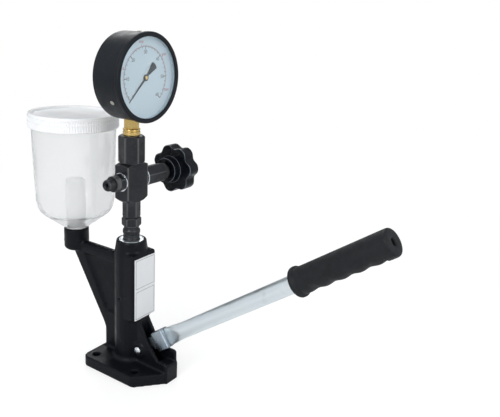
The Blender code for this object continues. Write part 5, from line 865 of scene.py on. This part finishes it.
# The gauge's case and bezel: a drawn steel cup with a rolled ring that holds the glass, both
# lacquered satin black. The back is pressed out in two shallow steps.
DIAL_SIDES = 192
CASE_RADIUS = 49 * MM
CASE_WALL = 1 * MM
CASE_FLOOR = 6 * MM
CASE_EASING = 1.3 * MM
BACK_STEPS = (20 * MM, 22 * MM, 37 * MM, 39 * MM)
BACK_HOLLOW = 1.2 * MM
BACK_RAISED = 0.2 * MM
BACK_RIM_OUT = 2.8 * MM
BACK_RIM_IN = 4 * MM
BEZEL_OPENING = 44.6 * MM
BEZEL_SIDE = 5.2 * MM
BEZEL_GAP = 0.1 * MM
BEZEL_CORNER = 0.8 * MM
BEZEL_REAR_INSET = 0.4 * MM
BEZEL_REAR_RISE = 0.5 * MM
BEZEL_LIP = 1.6 * MM
BEZEL_INNER_LIP = 1.7 * MM
BEZEL_EASING = 0.6 * MM
case_low, case_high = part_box("gauge_case")
bezel_low, bezel_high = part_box("bezel_ring")
DIAL_MIDDLE = np.array([0, 0, (bezel_low.z + bezel_high.z) / 2])
rim = circle(DIAL_SIDES) * 10
hollow = case_low.x + BACK_HOLLOW
raised = case_low.x + BACK_RAISED
case_profile = eased([
    (0, hollow), *zip(BACK_STEPS, (hollow, raised, raised, hollow)), (CASE_RADIUS - BACK_RIM_IN, hollow),
    (CASE_RADIUS - BACK_RIM_OUT, case_low.x), (CASE_RADIUS, case_low.x), (CASE_RADIUS, case_high.x),
    (CASE_RADIUS - CASE_WALL, case_high.x),
    (CASE_RADIUS - CASE_WALL, case_low.x + CASE_FLOOR), (0, case_low.x + CASE_FLOOR)], CASE_EASING, 5)
lacquer = new_finish("satin_black_lacquer", (0.0065, 0.0085, 0.012), 0.42, Specular_IOR_Level=0.2)
mottle(lacquer, 30, 0.5, (0.009, 0.011, 0.0145))
roughen(lacquer, 90, 0.36, 0.52)
emboss(lacquer, 600, 0.04 * MM, 0.4, detail=2.0)
built("gauge_case_drawn", lacquer, "gauge_case", "gauge_case_black",
      turned(case_profile, "X", DIAL_MIDDLE, rim))
bezel_radius = (bezel_high.z - bezel_low.z) / 2
bezel_rear = bezel_high.x - BEZEL_SIDE
bezel_fit = CASE_RADIUS + BEZEL_GAP
bezel_profile = eased([
    (bezel_fit, bezel_rear), (bezel_radius - BEZEL_REAR_INSET, bezel_rear),
    (bezel_radius, bezel_rear + BEZEL_REAR_RISE), (bezel_radius, bezel_high.x - BEZEL_CORNER),
    (bezel_radius - BEZEL_CORNER, bezel_high.x),
    (BEZEL_OPENING + BEZEL_CORNER, bezel_high.x), (BEZEL_OPENING, bezel_high.x - BEZEL_CORNER),
    (BEZEL_OPENING, bezel_high.x - BEZEL_LIP), (bezel_fit, bezel_high.x - BEZEL_INNER_LIP),
    (bezel_fit, bezel_rear)], BEZEL_EASING, 4)
built("bezel_ring_rolled", lacquer, "bezel_ring", "gauge_case_black",
      turned(bezel_profile, "X", DIAL_MIDDLE, rim))
screw_steel = new_finish("passivated_screw_steel", (0.50, 0.50, 0.44), 0.34, 1.0)
mottle(screw_steel, 500, 0.6, (0.34, 0.34, 0.28))
roughen(screw_steel, 700, 0.26, 0.44)
emboss(screw_steel, 1500, 0.02 * MM, 0.3)
dress(screw_steel, *[node for node in frame["nodes"] if node.startswith("case_screw")])


# The dial: an aluminium disc enamelled pale blue, printed with two scales. The black inner one
# has plain numbers from 0 to 60, and the finer red one round it has numbers of its own.
# Scale lines and numbers lie a few hundredths of a millimetre proud, as thick print does.
SCALE_START = np.radians(-135)
SCALE_SWEEP = np.radians(270)
SCALE_RADIUS = 33.6 * MM
MAJOR_LENGTH = 3.4 * MM
MAJOR_STEPS = 6
MINOR_LENGTH = 1.7 * MM
MINOR_STEPS = 30
RED_GAP = 0.8 * MM
RED_LENGTH = 2.2 * MM
RED_SHORT_LENGTH = RED_LENGTH * 0.6
PRINT_LINE = 0.42 * MM
MAJOR_LINE = PRINT_LINE * 1.9
MINOR_LINE = PRINT_LINE * 1.2
RED_ARC_LINE = PRINT_LINE * 0.6
RED_LINE = PRINT_LINE * 0.8
RED_WIDE_LINE = PRINT_LINE * 1.5
NUMBER_RADIUS = 27.9 * MM
NUMBER_HEIGHT = 3.9 * MM
RED_NUMBER_RADIUS = 39.2 * MM
RED_NUMBER_HEIGHT = 2.7 * MM
RED_FULL_SCALE = 8700
RED_STEP = 200
RED_NUMBER_STEP = 2000
FONT_SIZE_SHARE = 1.4
PRINT_THICKNESS = 0.03 * MM
PRINT_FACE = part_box("gauge_dial")[1].x + PRINT_THICKNESS


def on_dial(across, up):
    """Points on the printed face, given as distances across the dial and above its middle."""
    return np.stack([np.full(across.shape, PRINT_FACE), across, up + DIAL_MIDDLE[2]], axis=-1)


def dial_marks(angles, inner, outer, width):
    """Flat marks on the dial: one four-sided strip for each clock angle, from the inner radius to the
    outer, of one width. A point is radius times (sine, cosine) of its clock angle."""
    angles = np.atleast_1d(angles)
    out = np.stack([np.sin(angles), np.cos(angles)], axis=-1)
    side = np.stack([np.cos(angles), -np.sin(angles)], axis=-1) * width / 2
    corners = [out * inner - side, out * outer - side, out * outer + side, out * inner + side]
    flat = np.stack(corners, axis=1).reshape(-1, 2)
    mesh = bpy.data.meshes.new("marks")
    mesh.from_pydata(on_dial(*flat.T).tolist(), [], np.arange(len(flat)).reshape(-1, 4)[:, ::-1].tolist())
    return mesh


def dial_arc(radius, width, start, sweep, steps=160):
    """A printed arc: two rows of points, one each side of the radius, along the clock angles."""
    angle = np.linspace(start, start + sweep, steps)
    reach = np.array([[radius + width / 2], [radius - width / 2]])
    rows = on_dial(reach * np.sin(angle), reach * np.cos(angle))
    return grid_mesh("arc", rows, ring=False, ends=False)


def dial_number(text, angle, radius, height):
    """A printed number: a flat text made a mesh, upright on the dial, centred on a clock angle."""
    curve = bpy.data.curves.new("number", "FONT")
    curve.body = text
    curve.size = height * FONT_SIZE_SHARE
    curve.align_x, curve.align_y = "CENTER", "CENTER"
    curve.resolution_u = 3
    holder = bpy.data.objects.new("number", curve)
    scene.collection.objects.link(holder)
    mesh = bpy.data.meshes.new_from_object(holder.evaluated_get(bpy.context.evaluated_depsgraph_get()))
    bpy.data.objects.remove(holder)
    flat = np.empty(len(mesh.vertices) * 3)
    mesh.vertices.foreach_get("co", flat)
    flat = flat.reshape(-1, 3)
    flat[:, :2] -= (flat[:, :2].max(axis=0) + flat[:, :2].min(axis=0)) / 2
    points = on_dial(flat[:, 0] + radius * np.sin(angle), flat[:, 1] + radius * np.cos(angle))
    mesh.vertices.foreach_set("co", points.ravel())
    return mesh


def printed(name, ink, meshes):
    """Joins flat prints into one piece on the stand, facing the reader."""
    work = bmesh.new()
    for mesh in meshes:
        work.from_mesh(mesh)
    for face in work.faces:
        face.normal_update()
    bmesh.ops.reverse_faces(work, faces=[face for face in work.faces if face.normal.x < 0])
    mesh = bpy.data.meshes.new(name)
    work.to_mesh(mesh)
    work.free()
    return settle(bpy.data.objects.new(name, mesh), ink, body="stand")


dial_enamel = new_finish("pale_blue_dial_enamel", (0.66, 0.79, 0.87), 0.5)
mottle(dial_enamel, 18, 0.4, (0.72, 0.83, 0.90))
roughen(dial_enamel, 300, 0.42, 0.58)
emboss(dial_enamel, 1500, 0.01 * MM, 0.3)
dress(dial_enamel, "gauge_dial", "dial_spacer")
black_ink = new_finish("black_scale_ink", (0.045, 0.055, 0.065), 0.55)
mottle(black_ink, 900, 0.5, (0.09, 0.10, 0.11))
red_ink = new_finish("red_scale_ink", (0.46, 0.09, 0.13), 0.55)
mottle(red_ink, 900, 0.5, (0.56, 0.20, 0.24))
majors = SCALE_START + SCALE_SWEEP * np.arange(MAJOR_STEPS + 1) / MAJOR_STEPS
minors = SCALE_START + SCALE_SWEEP * np.arange(MINOR_STEPS + 1) / MINOR_STEPS
black_prints = [dial_arc(SCALE_RADIUS, PRINT_LINE, SCALE_START, SCALE_SWEEP),
                dial_marks(majors, SCALE_RADIUS - MAJOR_LENGTH, SCALE_RADIUS, MAJOR_LINE),
                dial_marks(minors, SCALE_RADIUS - MINOR_LENGTH, SCALE_RADIUS, MINOR_LINE)]
black_prints += [dial_number(str(10 * count), angle, NUMBER_RADIUS, NUMBER_HEIGHT)
                 for count, angle in enumerate(majors)]
printed("black_scale", black_ink, black_prints)
red_foot = SCALE_RADIUS + RED_GAP
red_steps = SCALE_START + SCALE_SWEEP * np.arange(0, RED_FULL_SCALE, RED_STEP) / RED_FULL_SCALE
red_numbers = np.arange(RED_NUMBER_STEP, RED_FULL_SCALE, RED_NUMBER_STEP)
red_angles = SCALE_START + SCALE_SWEEP * red_numbers / RED_FULL_SCALE
red_prints = [dial_arc(red_foot, RED_ARC_LINE, SCALE_START, SCALE_SWEEP),
              dial_marks(red_steps, red_foot, red_foot + RED_SHORT_LENGTH, RED_LINE),
              dial_marks(red_angles, red_foot, red_foot + RED_LENGTH, RED_WIDE_LINE)]
red_prints += [dial_number(str(number), angle, RED_NUMBER_RADIUS, RED_NUMBER_HEIGHT)
               for number, angle in zip(red_numbers, red_angles)]
printed("red_scale", red_ink, red_prints)


# The pointer and the movement behind the dial: a blacked blade with a fan-shaped tail on a
# steel arbor with a brass cap, driven by a brass sector, a link and the bronze Bourdon tube.
# Only the blade, its hub and the cap show from the front.
matt_black = new_finish("matt_black_blade", (0.026, 0.038, 0.048), 0.5)
mottle(matt_black, 300, 0.5, (0.036, 0.048, 0.058))
emboss(matt_black, 1500, 0.01 * MM, 0.4)
pointer_low, pointer_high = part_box("pointer")
REST_ANGLE = np.radians(-134)
POINTER_LENGTH = 37 * MM
FAN_LENGTH = 19 * MM
FAN_HALF_WIDTH = 4.6 * MM
FAN_START = 4.6 * MM
FAN_BULGE = 1.3 * MM
BLADE_HALF_WIDTH = 1.1 * MM
TIP_HALF_WIDTH = 0.25 * MM
POINTER_HUB = 3.6 * MM
HUB_REAR = 0.3 * MM
HUB_FRONT = 0.2 * MM
POINTER_HUB_EASING = 0.25 * MM
PIN_CAP = 2.1 * MM
PIN_CAP_SIDE = 0.35 * MM
PIN_CAP_CROWN = 0.5 * MM
PIN_CAP_EASING = 0.2 * MM
along = np.concatenate([np.linspace(-FAN_LENGTH, -FAN_START, 12),
                        np.linspace(-FAN_START, POINTER_LENGTH, 24)[1:]])
fan = np.clip((-along - FAN_START) / (FAN_LENGTH - FAN_START), 0, 1)
fan_half = BLADE_HALF_WIDTH + (FAN_HALF_WIDTH - BLADE_HALF_WIDTH) * fan
taper = np.interp(along, (0, POINTER_LENGTH), (BLADE_HALF_WIDTH, TIP_HALF_WIDTH))
blade_half = np.where(along < -FAN_START, fan_half, taper)
fan_side = np.linspace(-FAN_HALF_WIDTH, FAN_HALF_WIDTH, 9)[1:-1]
fan_end = -FAN_LENGTH - FAN_BULGE * (1 - (fan_side / FAN_HALF_WIDTH) ** 2)
edge_along = np.concatenate([along, along[::-1], fan_end])
edge_side = np.concatenate([blade_half, -blade_half[::-1], fan_side])
blade = on_dial(edge_along * np.sin(REST_ANGLE) + edge_side * np.cos(REST_ANGLE),
                edge_along * np.cos(REST_ANGLE) - edge_side * np.sin(REST_ANGLE))
blade_rows = np.stack([blade, blade])
blade_rows[..., 0] = [[pointer_low.x], [pointer_high.x]]
hub_rear, hub_front = pointer_low.x - HUB_REAR, pointer_high.x + HUB_FRONT
hub_profile = eased([(0, hub_rear), (POINTER_HUB, hub_rear), (POINTER_HUB, hub_front), (0, hub_front)],
                    POINTER_HUB_EASING)
settle(finished("pointer_blade", grid_mesh("blade", blade_rows),
                grid_mesh("hub", turned(hub_profile, "X", DIAL_MIDDLE), ends=False)), matt_black, "pointer",
       slot="pointer_black")
cap_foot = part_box("pointer_cap")[0].x
cap_profile = eased([(0, cap_foot), (PIN_CAP, cap_foot), (PIN_CAP, cap_foot + PIN_CAP_SIDE),
                     (0, cap_foot + PIN_CAP_CROWN)], PIN_CAP_EASING, 5)
built("pointer_cap_brass", brass, "pointer_cap", "brass", turned(cap_profile, "X", DIAL_MIDDLE))
dress(ground, "pointer_arbor")
dress(brass, "movement_frame", "sector_gear", "bourdon_link")
bronze = new_finish("drawn_phosphor_bronze", (0.60, 0.36, 0.19), 0.3, 1.0)
mottle(bronze, 50, 0.6, (0.46, 0.25, 0.12))
roughen(bronze, 200, 0.24, 0.42)
emboss(bronze, 500, 0.02 * MM, 0.4)
dress(bronze, "bourdon_tube")
window = new_finish("clear_window_glass", (0.97, 0.99, 1.0), 0.02, Transmission_Weight=1.0, IOR=1.45)
emboss(window, 12, 0.02 * MM, 0.1, detail=1.0)
dress(window, "gauge_glass")


# The fuel tank: a blow-moulded cup of clear, slightly milky plastic, with a rounded knee, a
# cone and a neck that sits in the arm's ring on a seal. A white filter stands in its neck, and a
# moulded lid with a ribbed skirt presses over its rim.
TANK_SIDES = 160
tank_low, tank_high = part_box("tank_cup")
lid_low, lid_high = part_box("tank_lid")
filter_low, filter_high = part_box("tank_filter")
TANK_MIDDLE = np.array([(lid_low.x + lid_high.x) / 2, 0, 0])
KNEE_RADIUS = 49 * MM
KNEE_HEIGHT = 199 * MM
SHOULDER_RADIUS = 43.5 * MM
SHOULDER_HEIGHT = 187 * MM
NECK_RADIUS = 15.5 * MM
NECK_HEIGHT = 163.1 * MM
NECK_CORNER = 1.5 * MM
SHOULDER_OUT = 1.5 * MM
SHOULDER_FALL = 1.2 * MM
CUP_EASING = 5 * MM
CUP_FLOOR = 3 * MM
WALL_CLIMBS = (0.4, 1, 1.1, 0.3)
TANK_WALL = 1.9 * MM
tank_radius = (tank_high.x - tank_low.x) / 2


def cup_side(wall):
    """The cup's profile from neck to rim, that far inside its outer face. Each corner also climbs by
    the share of the wall that keeps the two faces as far apart on the slopes."""
    climbs = [wall * share for share in WALL_CLIMBS]
    corners = [(NECK_RADIUS - wall, NECK_HEIGHT + climbs[0]),
               (NECK_RADIUS + NECK_CORNER - wall, NECK_HEIGHT + NECK_CORNER + climbs[1]),
               (SHOULDER_RADIUS + SHOULDER_OUT - wall, SHOULDER_HEIGHT - SHOULDER_FALL + climbs[2]),
               (KNEE_RADIUS - wall, KNEE_HEIGHT + climbs[3]), (tank_radius - wall, tank_high.z)]
    return eased(corners, CUP_EASING, 8)


cup_profile = np.concatenate([[(0, NECK_HEIGHT)], cup_side(0), cup_side(TANK_WALL)[::-1],
                              [(0, NECK_HEIGHT + CUP_FLOOR)]])
milky = new_finish("clear_milky_plastic", (0.975, 0.982, 0.988), 0.14, Transmission_Weight=0.84, IOR=1.25,
                   Coat_Weight=0.6, Coat_Roughness=0.04)
mottle(milky, 14, 0.5, (0.985, 0.99, 0.993))
roughen(milky, 25, 0.10, 0.20)
emboss(milky, 30, 0.2 * MM, 0.15, detail=1.0)
built("tank_cup_moulded", milky, "tank_cup", "clear_plastic",
      turned(cup_profile, "Z", TANK_MIDDLE, circle(TANK_SIDES) * 10))

FILTER_LIFT = 3.2 * MM
FILTER_CORNER = 1 * MM
FILTER_HOLE = 2.5 * MM
FILTER_DIMPLE = 1.5 * MM
FILTER_EASING = 0.8 * MM
filter_radius = (filter_high.x - filter_low.x) / 2
filter_foot = NECK_HEIGHT + FILTER_LIFT
dimple = filter_high.z - FILTER_DIMPLE
filter_profile = eased([
    (0, filter_foot), (filter_radius, filter_foot), (filter_radius, filter_high.z - FILTER_CORNER),
    (filter_radius - FILTER_CORNER, filter_high.z), (FILTER_HOLE + FILTER_DIMPLE, filter_high.z),
    (FILTER_HOLE, dimple), (0, dimple)], FILTER_EASING, 4)
filter_white = new_finish("white_filter_mesh", (0.97, 0.972, 0.975), 0.5, Transmission_Weight=0.7, IOR=1.2)
mottle(filter_white, 60, 0.5, (0.94, 0.945, 0.95))
emboss(filter_white, 1100, 0.06 * MM, 0.3, detail=1.0)
built("tank_filter_mesh", filter_white, "tank_filter", "filter_plastic",
      turned(filter_profile, "Z", TANK_MIDDLE))

LID_RIBS = 110
RIB_DEPTH = 0.95 * MM
RIB_SQUARENESS = 0.9
RIB_END_RISE = 12
PLAIN_BAND_LEVEL = 0.62
PLAIN_BAND_RISE = 14
PLAIN_BAND_CUT = 0.4
SKIRT_DEPTH = 0.1 * MM
LID_RIM = 5 * MM
LID_RIM_SLOPE = 0.8 * MM
LID_RECESS = 3 * MM
LID_WALL = 2 * MM
LID_EASING = 1.0 * MM
PLUG_WALL = 3.6 * MM
PLUG_TAPER = 0.2 * MM
SKIRT_ROOF = 6 * MM
SKIRT_GAP = 0.5 * MM
SKIRT_TAPER = 0.1 * MM
SKIRT_EDGE = 0.6 * MM
SKIRT_MARGIN = 1 * MM
RIBS_FALL = 3.5 * MM
BROW_FALLS = (3 * MM, 2.4 * MM)
BROW_INSETS = (0.7 * MM, 0.9 * MM)
lid_radius = (lid_high.x - lid_low.x) / 2
ceiling = lid_high.z - LID_RECESS - LID_WALL
skirt_roof = lid_high.z - SKIRT_ROOF
recess = lid_high.z - LID_RECESS
skirt_heights = np.linspace(lid_low.z + SKIRT_MARGIN, lid_high.z - RIBS_FALL, 26)
lid_inside = [(0, ceiling), (tank_radius - PLUG_WALL, ceiling),
              (tank_radius - PLUG_WALL + PLUG_TAPER, skirt_roof), (tank_radius + SKIRT_GAP, skirt_roof),
              (tank_radius + SKIRT_GAP + SKIRT_TAPER, lid_low.z), (lid_radius - SKIRT_EDGE, lid_low.z)]
lid_top = eased([
    (lid_radius, lid_high.z - BROW_FALLS[0]), (lid_radius - BROW_INSETS[0], lid_high.z - BROW_FALLS[1]),
    (lid_radius - BROW_INSETS[1], lid_high.z), (lid_radius - LID_RIM, lid_high.z),
    (lid_radius - LID_RIM - LID_RIM_SLOPE, recess), (0, recess)], LID_EASING, 4)
lid_profile = np.concatenate([lid_inside, upright(lid_radius, skirt_heights), lid_top])


def ribbed(grid, foot, head):
    """Ribs round a lid's skirt: between two heights the radius falls by a squared-off cosine of the
    angle, and a band at two thirds of the height is left plain, so the ribs make two rows."""
    flat = grid[..., :2] - TANK_MIDDLE[:2]
    angle = np.arctan2(flat[..., 1], flat[..., 0])
    height = (grid[..., 2] - foot) / (head - foot)
    ends = np.clip(np.minimum(height, 1 - height) * RIB_END_RISE, 0, 1)
    rows = np.clip(np.abs(height - PLAIN_BAND_LEVEL) * PLAIN_BAND_RISE - PLAIN_BAND_CUT, 0, 1)
    wave = np.clip(0.5 + RIB_SQUARENESS * np.cos(LID_RIBS * angle), 0, 1)
    outside = np.linalg.norm(flat, axis=-1) > lid_radius - SKIRT_DEPTH
    kept = 1 - RIB_DEPTH / lid_radius * wave * ends * rows * outside
    made = grid.copy()
    made[..., :2] = flat * kept[..., None] + TANK_MIDDLE[:2]
    return made


lid_grid = ribbed(turned(lid_profile, "Z", TANK_MIDDLE, circle(LID_RIBS * 6) * 10), skirt_heights[0],
                  skirt_heights[-1])
lid_plastic = new_finish("milky_lid_plastic", (0.965, 0.972, 0.982), 0.34, Transmission_Weight=0.04, IOR=1.18,
                         Specular_IOR_Level=0.4)
mottle(lid_plastic, 25, 0.5, (0.95, 0.955, 0.96))
roughen(lid_plastic, 60, 0.16, 0.26)
emboss(lid_plastic, 60, 0.03 * MM, 0.15)
built("tank_lid_moulded", lid_plastic, "tank_lid", "clear_plastic", lid_grid, crease=40)
dress(blacked, "holder_plug")


# The lever's head and tube: a zinc-plated forging that swings on the pin, and a steel tube whose
# lower end is pressed flat and held in the head's socket. The plating is bright, with
# scuffs, faint draw marks along the tube and creases where it was pressed. The head's zinc is
# painted darker as painted shade, with lighter patches as painted light across it.
HEAD_EDGE = 0.9 * MM
HEAD_BEVEL_ANGLE = np.radians(28)
HEAD_CREASE = np.radians(40)
FLAT_HALF_WIDTH = 3.2 * MM
FLAT_HALF_HEIGHT = 11 * MM
FLAT_START = 36 * MM
FLAT_END = 49 * MM
ROUND_START = 78 * MM
TUBE_RADIUS = 9.6 * MM
TUBE_END = 350 * MM
SQUARENESS = 5
CREASE_DEPTH = 0.7 * MM
CREASE_WIDTH = 2.2 * MM
LEVER_ANGLE = np.radians(35.7)
swing = next(joint for joint in frame["record"]["behaviour"]["joints"] if joint["name"] == "lever_swing")
PIVOT = np.array(swing["pos_m"])
lever_axis = np.array([np.cos(LEVER_ANGLE), 0, np.sin(LEVER_ANGLE)])
lever_side = np.array([0, 1, 0])
lever_up = np.array([-np.sin(LEVER_ANGLE), 0, np.cos(LEVER_ANGLE)])


def on_lever(along, side, up):
    """Points given as distances along the lever from its pivot, to its +Y side, and above it."""
    return PIVOT + along[..., None] * lever_axis + side[..., None] * lever_side + up[..., None] * lever_up


head = merged_copy("lever_head_forged", "lever_head")
edges = head.modifiers.new("forged edges", "BEVEL")
edges.width = HEAD_EDGE
edges.segments = 3
edges.limit_method = "ANGLE"
edges.angle_limit = HEAD_BEVEL_ANGLE
baked(head)
head.data.shade_smooth()
head.data.set_sharp_from_angle(angle=HEAD_CREASE)
# Painted shade: the head's zinc is far darker than the bright plate of the pin and nut, for the shade it sits
# in between the ears, and its lighter patches stand in for light falling across it.
forged = new_finish("shaded_zinc_forging", (0.24, 0.29, 0.34), 0.3, 1.0)
mottle(forged, 45, 0.7, (0.44, 0.49, 0.53))
mottle(forged, 160, 0.3, (0.14, 0.16, 0.18), span=(0.55, 0.75))
roughen(forged, 60, 0.2, 0.4)
emboss(forged, 120, 0.03 * MM, 0.2)
settle(head, forged, "lever_head", slot="zinc_plate")

TUBE_SIDES = 96
stations = np.concatenate([np.linspace(FLAT_START, FLAT_END, 6), np.linspace(FLAT_END, ROUND_START, 30)[1:],
                           np.linspace(ROUND_START, TUBE_END, 60)[1:]])
share = np.clip((stations - FLAT_END) / (ROUND_START - FLAT_END), 0, 1)
share = (share * share * (3 - 2 * share))[:, None]
angle = 2 * np.pi * np.arange(TUBE_SIDES)[None] / TUBE_SIDES
power = 2 / (SQUARENESS + (2 - SQUARENESS) * share)
tall = FLAT_HALF_HEIGHT + (TUBE_RADIUS - FLAT_HALF_HEIGHT) * share
wide = FLAT_HALF_WIDTH + (TUBE_RADIUS - FLAT_HALF_WIDTH) * share
up_part = tall * np.sign(np.cos(angle)) * np.abs(np.cos(angle)) ** power
side_part = wide * np.sign(np.sin(angle)) * np.abs(np.sin(angle)) ** power
crease = CREASE_DEPTH * np.sin(np.pi * share) ** 1.5 * np.exp(-((side_part / CREASE_WIDTH) ** 2))
up_part = up_part - np.sign(np.cos(angle)) * crease
along = np.broadcast_to(stations[:, None], up_part.shape)
tube_finish = new_finish("scuffed_zinc_tube", (0.81, 0.87, 0.885), 0.34, 1.0)
mottle(tube_finish, 25, 0.4, (0.76, 0.82, 0.86), detail=1.0)
mottle(tube_finish, 90, 0.25, (0.56, 0.58, 0.58), detail=1.0, span=(0.64, 0.8))
roughen(tube_finish, 70, 0.28, 0.38, detail=1.0)
emboss(tube_finish, 120, 0.015 * MM, 0.15, detail=1.0, stretch=(0.3, 1, 0.3))
emboss(tube_finish, 30, 0.05 * MM, 0.1, detail=1.0)
settle(finished("lever_tube_pressed", grid_mesh("tube", on_lever(along, side_part, up_part))), tube_finish,
       "lever_tube", slot="zinc_plate")


# The grip: black rubbery plastic pushed over the tube, with a flange at its inner end, shallow
# finger waves along its underside and a small hole in its rounded outer end.
GRIP_START = 251 * MM
GRIP_END = 366.1 * MM
GRIP_RADIUS = 14.3 * MM
GRIP_ROUND = 2.6 * MM
GRIP_FIT = 0.2 * MM
GRIP_BELLY = 0.2 * MM
BELLY_START = 20 * MM
BELLY_END = 12 * MM
BODY_MARGIN_IN = 3 * MM
BODY_MARGIN_OUT = 4 * MM
GRIP_EASING = 2.2 * MM
FLANGE_RADIUS = 16.4 * MM
FLANGE_LENGTH = 5 * MM
FLANGE_SLOPE = 0.8 * MM
WAVES_START = 12 * MM
FINGERS = 4.5
FINGER_DEPTH = 1.4 * MM
END_HOLE = 3.5 * MM
END_HOLE_DEPTH = 5 * MM
END_HOLE_FLARE = 2.5 * MM
END_HOLE_FALL = 1.2 * MM
flange_end = GRIP_START + FLANGE_LENGTH
body_start = flange_end + BODY_MARGIN_IN
body_end = GRIP_END - BODY_MARGIN_OUT
hole_floor = GRIP_END - END_HOLE_DEPTH
grip_profile = eased([
    (TUBE_RADIUS + GRIP_FIT, GRIP_START), (FLANGE_RADIUS, GRIP_START), (FLANGE_RADIUS, flange_end),
    (GRIP_RADIUS, flange_end + FLANGE_SLOPE), (GRIP_RADIUS, GRIP_START + BELLY_START),
    (GRIP_RADIUS + GRIP_BELLY, GRIP_END - BELLY_END), (GRIP_RADIUS, GRIP_END - GRIP_ROUND),
    (GRIP_RADIUS - 0.3 * GRIP_ROUND, GRIP_END - 0.3 * GRIP_ROUND), (GRIP_RADIUS - GRIP_ROUND, GRIP_END),
    (END_HOLE + END_HOLE_FLARE, GRIP_END), (END_HOLE, GRIP_END - END_HOLE_FALL), (END_HOLE, hole_floor),
    (0, hole_floor)], GRIP_EASING, 5)
on_body = ((grip_profile[:, 1] > body_start) & (grip_profile[:, 1] < body_end)
           & (grip_profile[:, 0] > GRIP_RADIUS * 0.9))
before = grip_profile[:np.argmax(on_body)]
after = grip_profile[len(grip_profile) - np.argmax(on_body[::-1]):]
grip_body = upright(GRIP_RADIUS, np.linspace(body_start, body_end, 140))
grip_profile = np.concatenate([before, grip_body, after])
reach = np.broadcast_to(grip_profile[:, :1], (len(grip_profile), TUBE_SIDES))
along = np.broadcast_to(grip_profile[:, 1:], reach.shape)
under = np.clip(-np.cos(angle), 0, 1) ** 1.2
travel = (along - GRIP_START - WAVES_START) / (GRIP_END - GRIP_START - 2 * WAVES_START)
waves = (0.5 - 0.5 * np.cos(2 * np.pi * FINGERS * np.clip(travel, 0, 1))) * (travel > 0) * (travel < 1)
on_side = reach > GRIP_RADIUS * 0.97
reach = reach - FINGER_DEPTH * waves * under * on_side
grip_grid = on_lever(along, reach * np.sin(angle), reach * np.cos(angle))
rubber = new_finish("black_moulded_grip", (0.0085, 0.0095, 0.0115), 0.58, Specular_IOR_Level=0.24)
mottle(rubber, 40, 0.5, (0.012, 0.013, 0.0155))
roughen(rubber, 120, 0.48, 0.68)
emboss(rubber, 800, 0.08 * MM, 0.5, detail=2.0)
built("lever_grip_moulded", rubber, "lever_grip", "grip_rubber", grip_grid, crease=40)


# The pivot: a zinc-plated pin with a domed head on the outlet side, its threaded end through a
# hexagonal nut on the knob side.
pin_low, pin_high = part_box("pivot_pin")
nut_low, nut_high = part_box("pivot_nut")
PIN_RADIUS = 4 * MM
PIN_HEAD = 4.8 * MM
PIN_HEAD_LENGTH = 2.6 * MM
PIN_HEAD_SIDE = 1.3 * MM
PIN_HEAD_CROWN = 0.1 * MM
PIN_HEAD_EASING = 1.2 * MM
PIN_END_CHAMFER = 0.8 * MM
PIN_THREAD_START = 0.2 * MM
PIN_THREAD_PITCH = 1.25 * MM
PIN_THREAD_DEPTH = 0.35 * MM
NUT_FLATS = 13 * MM
NUT_CHAMFER = 0.9 * MM
NUT_GAP = 0.1 * MM
NUT_TURN = 0.3
on_pin = (PIVOT[0], 0, PIVOT[2])
head_foot = pin_low.y + PIN_HEAD_LENGTH
thread_start = nut_low.y + PIN_THREAD_START
thread_end = pin_high.y - PIN_END_CHAMFER
pin_head = eased([(0, pin_low.y), (PIN_HEAD / 2, pin_low.y + PIN_HEAD_CROWN),
                  (PIN_HEAD, pin_low.y + PIN_HEAD_SIDE), (PIN_HEAD, head_foot), (PIN_RADIUS, head_foot)],
                 PIN_HEAD_EASING, 5)
pin_shank = run(PIN_RADIUS, thread_start, thread_end, THREAD_PITCH / 10)
pin_end = [(PIN_RADIUS - PIN_END_CHAMFER, pin_high.y), (0, pin_high.y)]
pin_profile = np.concatenate([pin_head, [(PIN_RADIUS, nut_low.y)], pin_shank, pin_end])
pin_grid = threaded(turned(pin_profile, "Y", on_pin), on_pin, "Y", thread_start, thread_end, PIN_THREAD_PITCH,
                    PIN_THREAD_DEPTH)
built("pivot_pin_turned", zinc, "pivot_pin", "zinc_plate", pin_grid)
nut_profile = hex_profile(NUT_FLATS, nut_low.y, nut_high.y, NUT_CHAMFER, PIN_RADIUS + NUT_GAP)
nut_grid = turned(nut_profile, "Y", on_pin, hexagon(NUT_FLATS, NUT_TURN))
built("pivot_nut_milled", zinc, "pivot_nut", "zinc_plate", nut_grid, crease=FLATS_CREASE)
